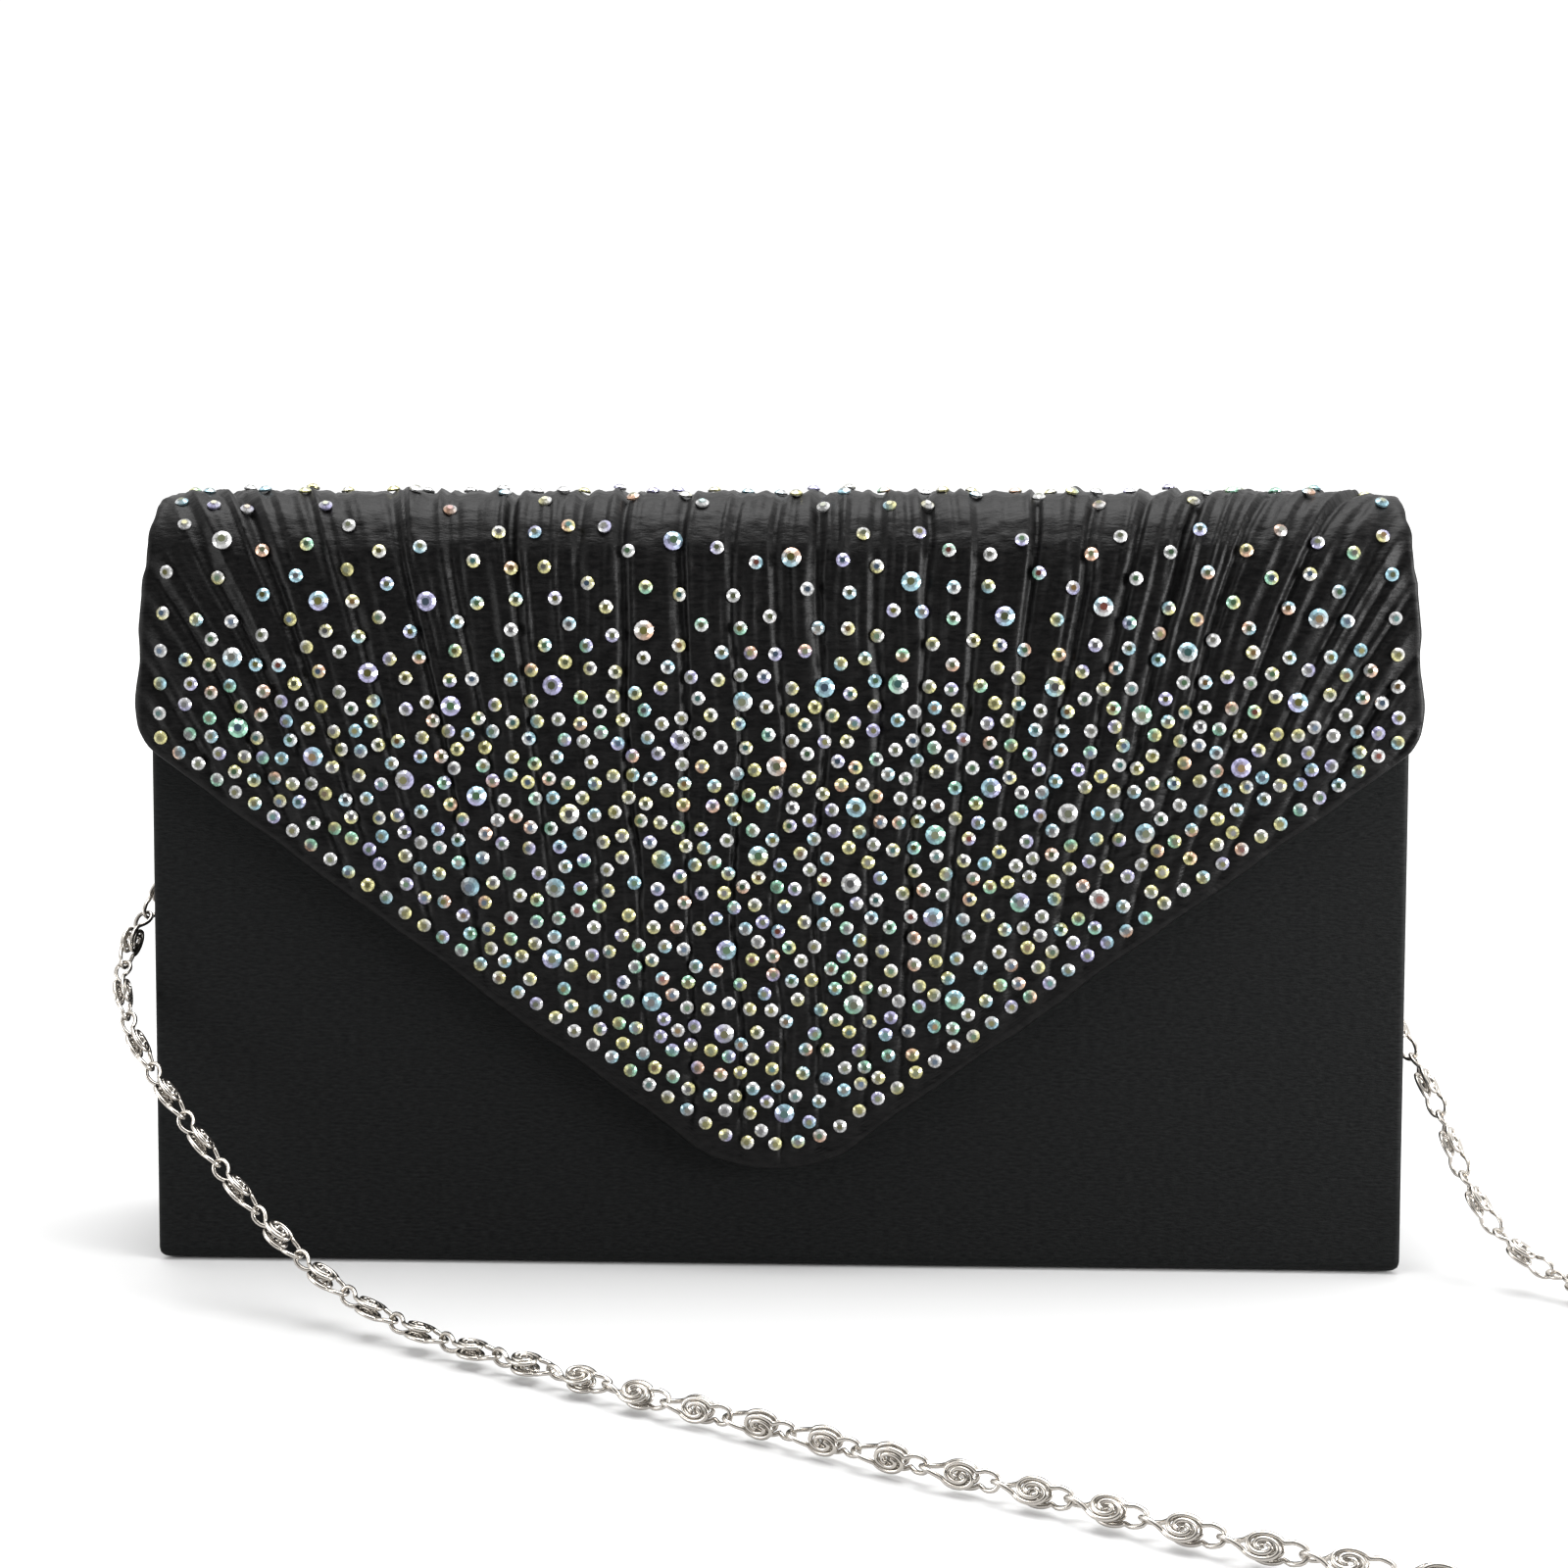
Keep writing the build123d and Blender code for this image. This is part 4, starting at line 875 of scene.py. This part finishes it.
# ---- folded sides ----
GUSSET_X, GUSSET_LOW, GUSSET_TOP = 106.2, 0.8, 117.0
FOLD_FOOT = 3.2                  # height from which the fold grows
FOLD_IN_LOW, FOLD_IN_TOP = 1.5, 16.5
SIDE_EDGE = 2.2                  # from a wall's outside to the edge of the side
for side, side_name in ((-1, "left"), (1, "right")):
    heights = np.linspace(GUSSET_LOW, GUSSET_TOP, 70)
    depth_share = np.concatenate([-np.linspace(1, 0.0, 20)[:-1] ** 1.3, np.linspace(0, 1, 20) ** 1.3])
    z, v = np.meshgrid(heights, depth_share, indexing="ij")
    half_depth = BODY_D / 2 - z * math.tan(LEAN) - SIDE_EDGE
    share = np.clip((z - FOLD_FOOT) / (GUSSET_TOP - FOLD_FOOT), 0, 1)
    fold = FOLD_IN_LOW + share * (FOLD_IN_TOP - FOLD_IN_LOW)
    bend = 1 - np.sqrt(v * v + 0.0025) * (0.9 + 0.1 * np.abs(v))
    ripple = 0.5 * np.sin(v * 7 + z / 26) * np.clip(1 - np.abs(v), 0, 1) * np.clip(z / 60, 0, 1)
    outer_x = GUSSET_X - fold * np.clip(bend, 0, 1) + 0.35 * ripple
    y = v * half_depth
    patch = Patch()
    uv = np.stack([y, z], axis=-1)
    outer = np.stack([side * outer_x, y, z], axis=-1)
    inner = np.stack([side * (outer_x - SIDE_T), y, z], axis=-1)
    crest = np.stack([side * (outer_x[-1] - SIDE_T / 2), y[-1], z[-1] + 0.3], axis=-1)
    patch.grid(outer, uv, flip=side > 0)
    patch.grid(inner, uv, flip=side < 0)
    patch.grid(np.stack([inner[0], outer[0]]), np.stack([uv[0]] * 2), flip=side > 0)
    for column, faces in ((0, (inner, outer)), (-1, (outer, inner))):
        rim = np.stack([face[:, column] for face in faces], axis=1)
        patch.grid(rim, np.stack([uv[:, column]] * 2, axis=1), flip=side > 0)
    patch.grid(np.stack([outer[-1], crest, inner[-1]]), np.stack([uv[-1]] * 3), flip=side > 0)
    gusset = patch.build(side_name + "_side", satin)
    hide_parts(side_name + "_gusset")
    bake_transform(gusset)

# ---- stones ----


def islands(node):
    """Centres of the separate solids in a CAD node, in millimetres."""
    data = nodes[node].data
    points = np.array([v.co for v in data.vertices], float) / MM
    key = np.round(points, 3)
    unique, back = np.unique(key, axis=0, return_inverse=True)
    back = back.reshape(-1)
    label = np.arange(len(unique))
    faces = np.array([back[list(p.vertices)[:3]] for p in data.polygons])
    pairs = np.concatenate([faces[:, :2], faces[:, 1:]])
    changed = True
    while changed:
        low = np.minimum(label[pairs[:, 0]], label[pairs[:, 1]])
        new = label.copy()
        np.minimum.at(new, pairs[:, 0], low)
        np.minimum.at(new, pairs[:, 1], low)
        new = new[new]
        changed = bool((new != label).any())
        label = new
    made = []
    for root in np.unique(label):
        members = unique[label == root]
        made.append((members.min(0) + members.max(0)) / 2)
    return np.array(made)


def flap_place(points):
    """x and run on the flap of points near its skin."""
    y, z = points[:, 1], points[:, 2]
    angle = np.degrees(np.arctan2(z - FRONT_Z, y - FRONT_Y)) % 360
    run = np.where(
        y > FRONT_Y,
        SEAM_Y - y,
        np.where(angle < 90 + TURN, (SEAM_Y - FRONT_Y) + np.radians(angle - 90) * FRONT_R, run_at(z)),
    )
    return points[:, 0], run


TABLE, STAR, CROWN, GIRDLE = range(4)     # kinds of face on a cut stone


def stone_shape(radius, height):
    """Points and faces of a cut stone: table, star, crown and girdle; the kind and heading of each face."""
    turn = np.arange(16) / 16 * 2 * math.pi
    turn8 = np.arange(8) / 8 * 2 * math.pi + math.pi / 8
    rings = []
    for angle, share, level in (
        (turn, 0.97, 0.0), (turn, 1.0, 0.4), (turn8, 0.68, 0.78), (turn8, 0.42, 1.0),
    ):
        at, up = radius * share, np.full(len(angle), level * height)
        rings.append(np.stack([at * np.cos(angle), at * np.sin(angle), up], axis=1))
    points = np.concatenate(rings)
    star, table = 32, 40             # first points of the two inner rings
    faces, kinds = [list(range(table, table + 8))], [TABLE]
    for i in range(16):
        j = (i + 1) % 16
        faces.append([i, j, 16 + j, 16 + i])
        kinds.append(GIRDLE)
    for k in range(8):
        near, after = star + k, star + (k + 1) % 8
        g0, g1, g2 = 16 + (2 * k) % 16, 16 + (2 * k + 1) % 16, 16 + (2 * k + 2) % 16
        faces += [[near, g0, g1], [near, g1, g2], [near, g2, after]]
        faces.append([table + k, near, after, table + (k + 1) % 8])
        kinds += [CROWN, CROWN, CROWN, STAR]
    centres = np.array([points[face].mean(0) for face in faces])
    return points, faces, np.array(kinds), np.arctan2(centres[:, 1], centres[:, 0])


# Table colours: the coating's cast, made dark with painted shade for the stone's dark depth seen through the
# table.
TABLE_TINTS_AND_SHADE = np.array([
    (0.17, 0.19, 0.10), (0.20, 0.19, 0.06), (0.10, 0.19, 0.10), (0.17, 0.17, 0.17), (0.10, 0.15, 0.22),
    (0.24, 0.15, 0.06), (0.09, 0.21, 0.20), (0.28, 0.28, 0.24), (0.24, 0.08, 0.06),
])
TINT_SHARE = np.array([0.26, 0.18, 0.14, 0.14, 0.09, 0.06, 0.05, 0.06, 0.02])
# Crown colours: the coating's tints, made light with painted reflection of the bright surroundings.
CROWN_TINTS_AND_REFLECTION = np.array([
    (0.68, 0.68, 0.68), (0.70, 0.66, 0.30), (0.36, 0.60, 0.70), (0.50, 0.48, 0.74), (0.74, 0.46, 0.32),
    (0.34, 0.68, 0.50),
])
CROWN_SHARE = np.array([0.40, 0.24, 0.14, 0.10, 0.06, 0.06])
LARGE_SHARE = np.array([0.34, 0.04, 0.34, 0.22, 0.02, 0.04])
SMALL_STONE = (1.15, 0.85)       # radius and height
LARGE_STONE = (1.65, 1.15)
PROBE = 1.1                      # how far from a stone's middle the cloth's slope is taken
MOST_TILT_X, MOST_TILT_RUN = 0.22, 0.2
TILT_SHARE = 0.7                 # share of the cloth's slope that a stone follows
TILT_STRAY = 0.035
SUNK = 0.08                      # how deep a stone's foot sits in its glue
ACROSS = np.array([1.0, 0, 0])


def cloth_slopes(x, run):
    """Slopes of the gathered cloth across the flap and down it."""
    dx = cover_lift(np.array(x + PROBE), np.array(run)) - cover_lift(np.array(x - PROBE), np.array(run))
    dr = cover_lift(np.array(x), np.array(run + PROBE)) - cover_lift(np.array(x), np.array(run - PROBE))
    return float(dx / (2 * PROBE)), float(dr / (2 * PROBE))


chance = np.random.default_rng(33)
for node_name, piece_name, stone_size, shares in (
    ("spine_stones", "top_crystals", SMALL_STONE, CROWN_SHARE),
    ("small_stones", "small_crystals", SMALL_STONE, CROWN_SHARE),
    ("large_stones", "large_crystals", LARGE_STONE, LARGE_SHARE),
):
    radius = stone_size[0]
    shape_points, shape_faces, kinds, heading = stone_shape(*stone_size)
    x, run = flap_place(islands(node_name))
    all_points, all_faces, tints_and_reflections = [], [], []
    for i, (cx, cr) in enumerate(zip(x, run)):
        ring = np.arange(8) / 8 * 2 * math.pi
        around = cover_lift(cx + radius * 0.8 * np.cos(ring), cr + radius * 0.8 * np.sin(ring))
        lift = 0.3 * around.mean() + 0.7 * around.max()
        dx, dr = cloth_slopes(cx, cr)
        tilt_x = np.clip(dx, -MOST_TILT_X, MOST_TILT_X) * TILT_SHARE + chance.normal(0, TILT_STRAY)
        tilt_r = np.clip(dr, -MOST_TILT_RUN, MOST_TILT_RUN) * TILT_SHARE + chance.normal(0, TILT_STRAY)
        base = flap_path.place(cx, cr, lift - SUNK)
        out = flap_path.place(cx, cr, lift + 1.0) - flap_path.place(cx, cr, lift)
        down = flap_path.place(cx, cr + 0.05, lift) - flap_path.place(cx, cr - 0.05, lift)
        down /= np.linalg.norm(down)
        axis = out - tilt_x * ACROSS - tilt_r * down
        axis /= np.linalg.norm(axis)
        side_axis = ACROSS - axis[0] * axis
        side_axis /= np.linalg.norm(side_axis)
        up_axis = np.cross(axis, side_axis)
        spin = chance.uniform(0, 2 * math.pi)
        c, s = math.cos(spin), math.sin(spin)
        px = shape_points[:, 0] * c - shape_points[:, 1] * s
        py = shape_points[:, 0] * s + shape_points[:, 1] * c
        placed = base + px[:, None] * side_axis + py[:, None] * up_axis
        all_points.append(placed + shape_points[:, 2:3] * axis)
        all_faces.extend([[p + i * len(shape_points) for p in f] for f in shape_faces])
        table_tint_and_shade = TABLE_TINTS_AND_SHADE[chance.choice(len(TABLE_TINTS_AND_SHADE), p=TINT_SHARE)] * chance.uniform(0.3, 0.65)
        pair = CROWN_TINTS_AND_REFLECTION[chance.choice(len(CROWN_TINTS_AND_REFLECTION), 2, p=shares)]
        share = (0.5 + 0.5 * np.cos(heading - chance.uniform(0, 2 * math.pi)))[:, None]
        # Each crown facet gets its own brightness: painted glints and dark reflections.
        crown = (pair[0] * share + pair[1] * (1 - share)) * chance.uniform(0.45, 0.85, (len(kinds), 1))
        tint_and_reflection = np.where((kinds == TABLE)[:, None], table_tint_and_shade, crown)
        tint_and_reflection = np.where((kinds == STAR)[:, None], 0.38 * crown + 0.3 * table_tint_and_shade, tint_and_reflection)
        # The girdle takes the crown's colour made darker: painted shade on the stone's side.
        tint_and_reflection = np.where((kinds == GIRDLE)[:, None], crown * 0.6, tint_and_reflection)
        tints_and_reflections.append(np.clip(tint_and_reflection, 0, 1))
    stones = add_mesh(piece_name, np.concatenate(all_points), all_faces, crystal, shade_smooth=False)
    stones.data.materials.append(crystal_table)
    stones.data.polygons.foreach_set("material_index", np.tile((kinds < CROWN).astype(np.int32), len(x)))
    tints_and_reflections = np.concatenate(tints_and_reflections)
    layer = stones.data.color_attributes.new("tint_and_reflection", "FLOAT_COLOR", "CORNER")
    corners = np.repeat(tints_and_reflections, [len(f) for f in all_faces], axis=0)
    opaque = np.concatenate([corners, np.ones((len(corners), 1))], axis=1)
    layer.data.foreach_set("color", opaque.astype(np.float32).ravel())
    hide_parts(node_name)
    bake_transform(stones)

# ---- floor, world and lights ----
FLOOR_NEAR, FLOOR_FAR = 0.22, 0.9         # the floor glows more and more between these distances, in metres
FLOOR_GLOW = 0.8
white, floor_shader = principled("floor_white", (0.50, 0.50, 0.50), 0.8)
floor_tree = white.node_tree
floor_place = add_node(floor_tree, "TexCoord")
floor_reach = add_node(floor_tree, "VectorMath")
floor_reach.operation = "LENGTH"
floor_tree.links.new(floor_place.outputs["Object"], floor_reach.inputs[0])
floor_fade = add_node(floor_tree, "MapRange", From_Min=FLOOR_NEAR, From_Max=FLOOR_FAR, To_Max=FLOOR_GLOW)
floor_fade.interpolation_type = "SMOOTHSTEP"
floor_tree.links.new(floor_reach.outputs["Value"], floor_fade.inputs["Value"])
floor_shader.inputs["Emission Color"].default_value = (1, 1, 1, 1)
floor_tree.links.new(floor_fade.outputs["Result"], floor_shader.inputs["Emission Strength"])
bpy.ops.mesh.primitive_plane_add(size=8, location=(0, 0, -0.0002))
floor = bpy.context.object
floor.name = "floor"
floor.data.materials.append(white)

world = bpy.data.worlds.new("World")
bpy.context.scene.world = world
world.use_nodes = True
tree = world.node_tree
background = tree.nodes["Background"]
direction = add_node(tree, "TexCoord")
parts = add_node(tree, "SeparateXYZ")
tree.links.new(direction.outputs["Generated"], parts.inputs["Vector"])


def ranged(source, low, high, to_low, to_high):
    """A value turned from one range to another, smoothly."""
    node = add_node(tree, "MapRange", From_Min=low, From_Max=high, To_Min=to_low, To_Max=to_high)
    node.interpolation_type = "SMOOTHSTEP"
    tree.links.new(source, node.inputs["Value"])
    return node.outputs["Result"]


def combine(kind, a, b):
    """Two values joined by a maths node."""
    node = add_node(tree, "Math")
    node.operation = kind
    for socket, value in zip(node.inputs, (a, b)):
        if isinstance(value, float):
            socket.default_value = value
        else:
            tree.links.new(value, socket)
    return node.outputs["Value"]


ahead = ranged(parts.outputs["Y"], -0.9, -0.02, 0.05, 1.1)
right = ranged(parts.outputs["X"], 0.0, 0.9, 0.0, 0.35)
above = ranged(parts.outputs["Z"], 0.35, 0.95, 0.0, 0.5)
level = combine("ADD", ahead, combine("ADD", right, above))
seen = add_node(tree, "LightPath")
shown = combine("MAXIMUM", level, seen.outputs["Is Camera Ray"])
tree.links.new(shown, background.inputs["Strength"])
background.inputs["Color"].default_value = (1.0, 1.0, 1.0, 1)


def soft_lamp(name, size, watts, place, target):
    """A rectangular lamp that the camera doesn't see."""
    lamp = bpy.data.lights.new(name, "AREA")
    lamp.shape = "RECTANGLE"
    lamp.size, lamp.size_y = size
    lamp.energy = watts
    made = bpy.data.objects.new(name, lamp)
    bpy.context.scene.collection.objects.link(made)
    made.location = place
    made.rotation_euler = (Vector(target) - Vector(place)).to_track_quat("-Z", "Y").to_euler()
    made.visible_camera = False


soft_lamp("overhead", (0.72, 0.6), 9.3, (0.0, 0.05, 0.8), (0.0, -0.02, 0.08))
soft_lamp("right_side", (0.24, 0.2), 3.8, (0.46, -0.2, 0.13), (0.06, -0.02, 0.07))
soft_lamp("left_side", (0.24, 0.2), 0.9, (-0.46, -0.2, 0.13), (-0.06, -0.02, 0.07))

scene = bpy.context.scene
scene.view_settings.view_transform = "Standard"
scene.view_settings.look = "None"
scene.view_settings.exposure = 0.0
scene.view_settings.gamma = 1.0
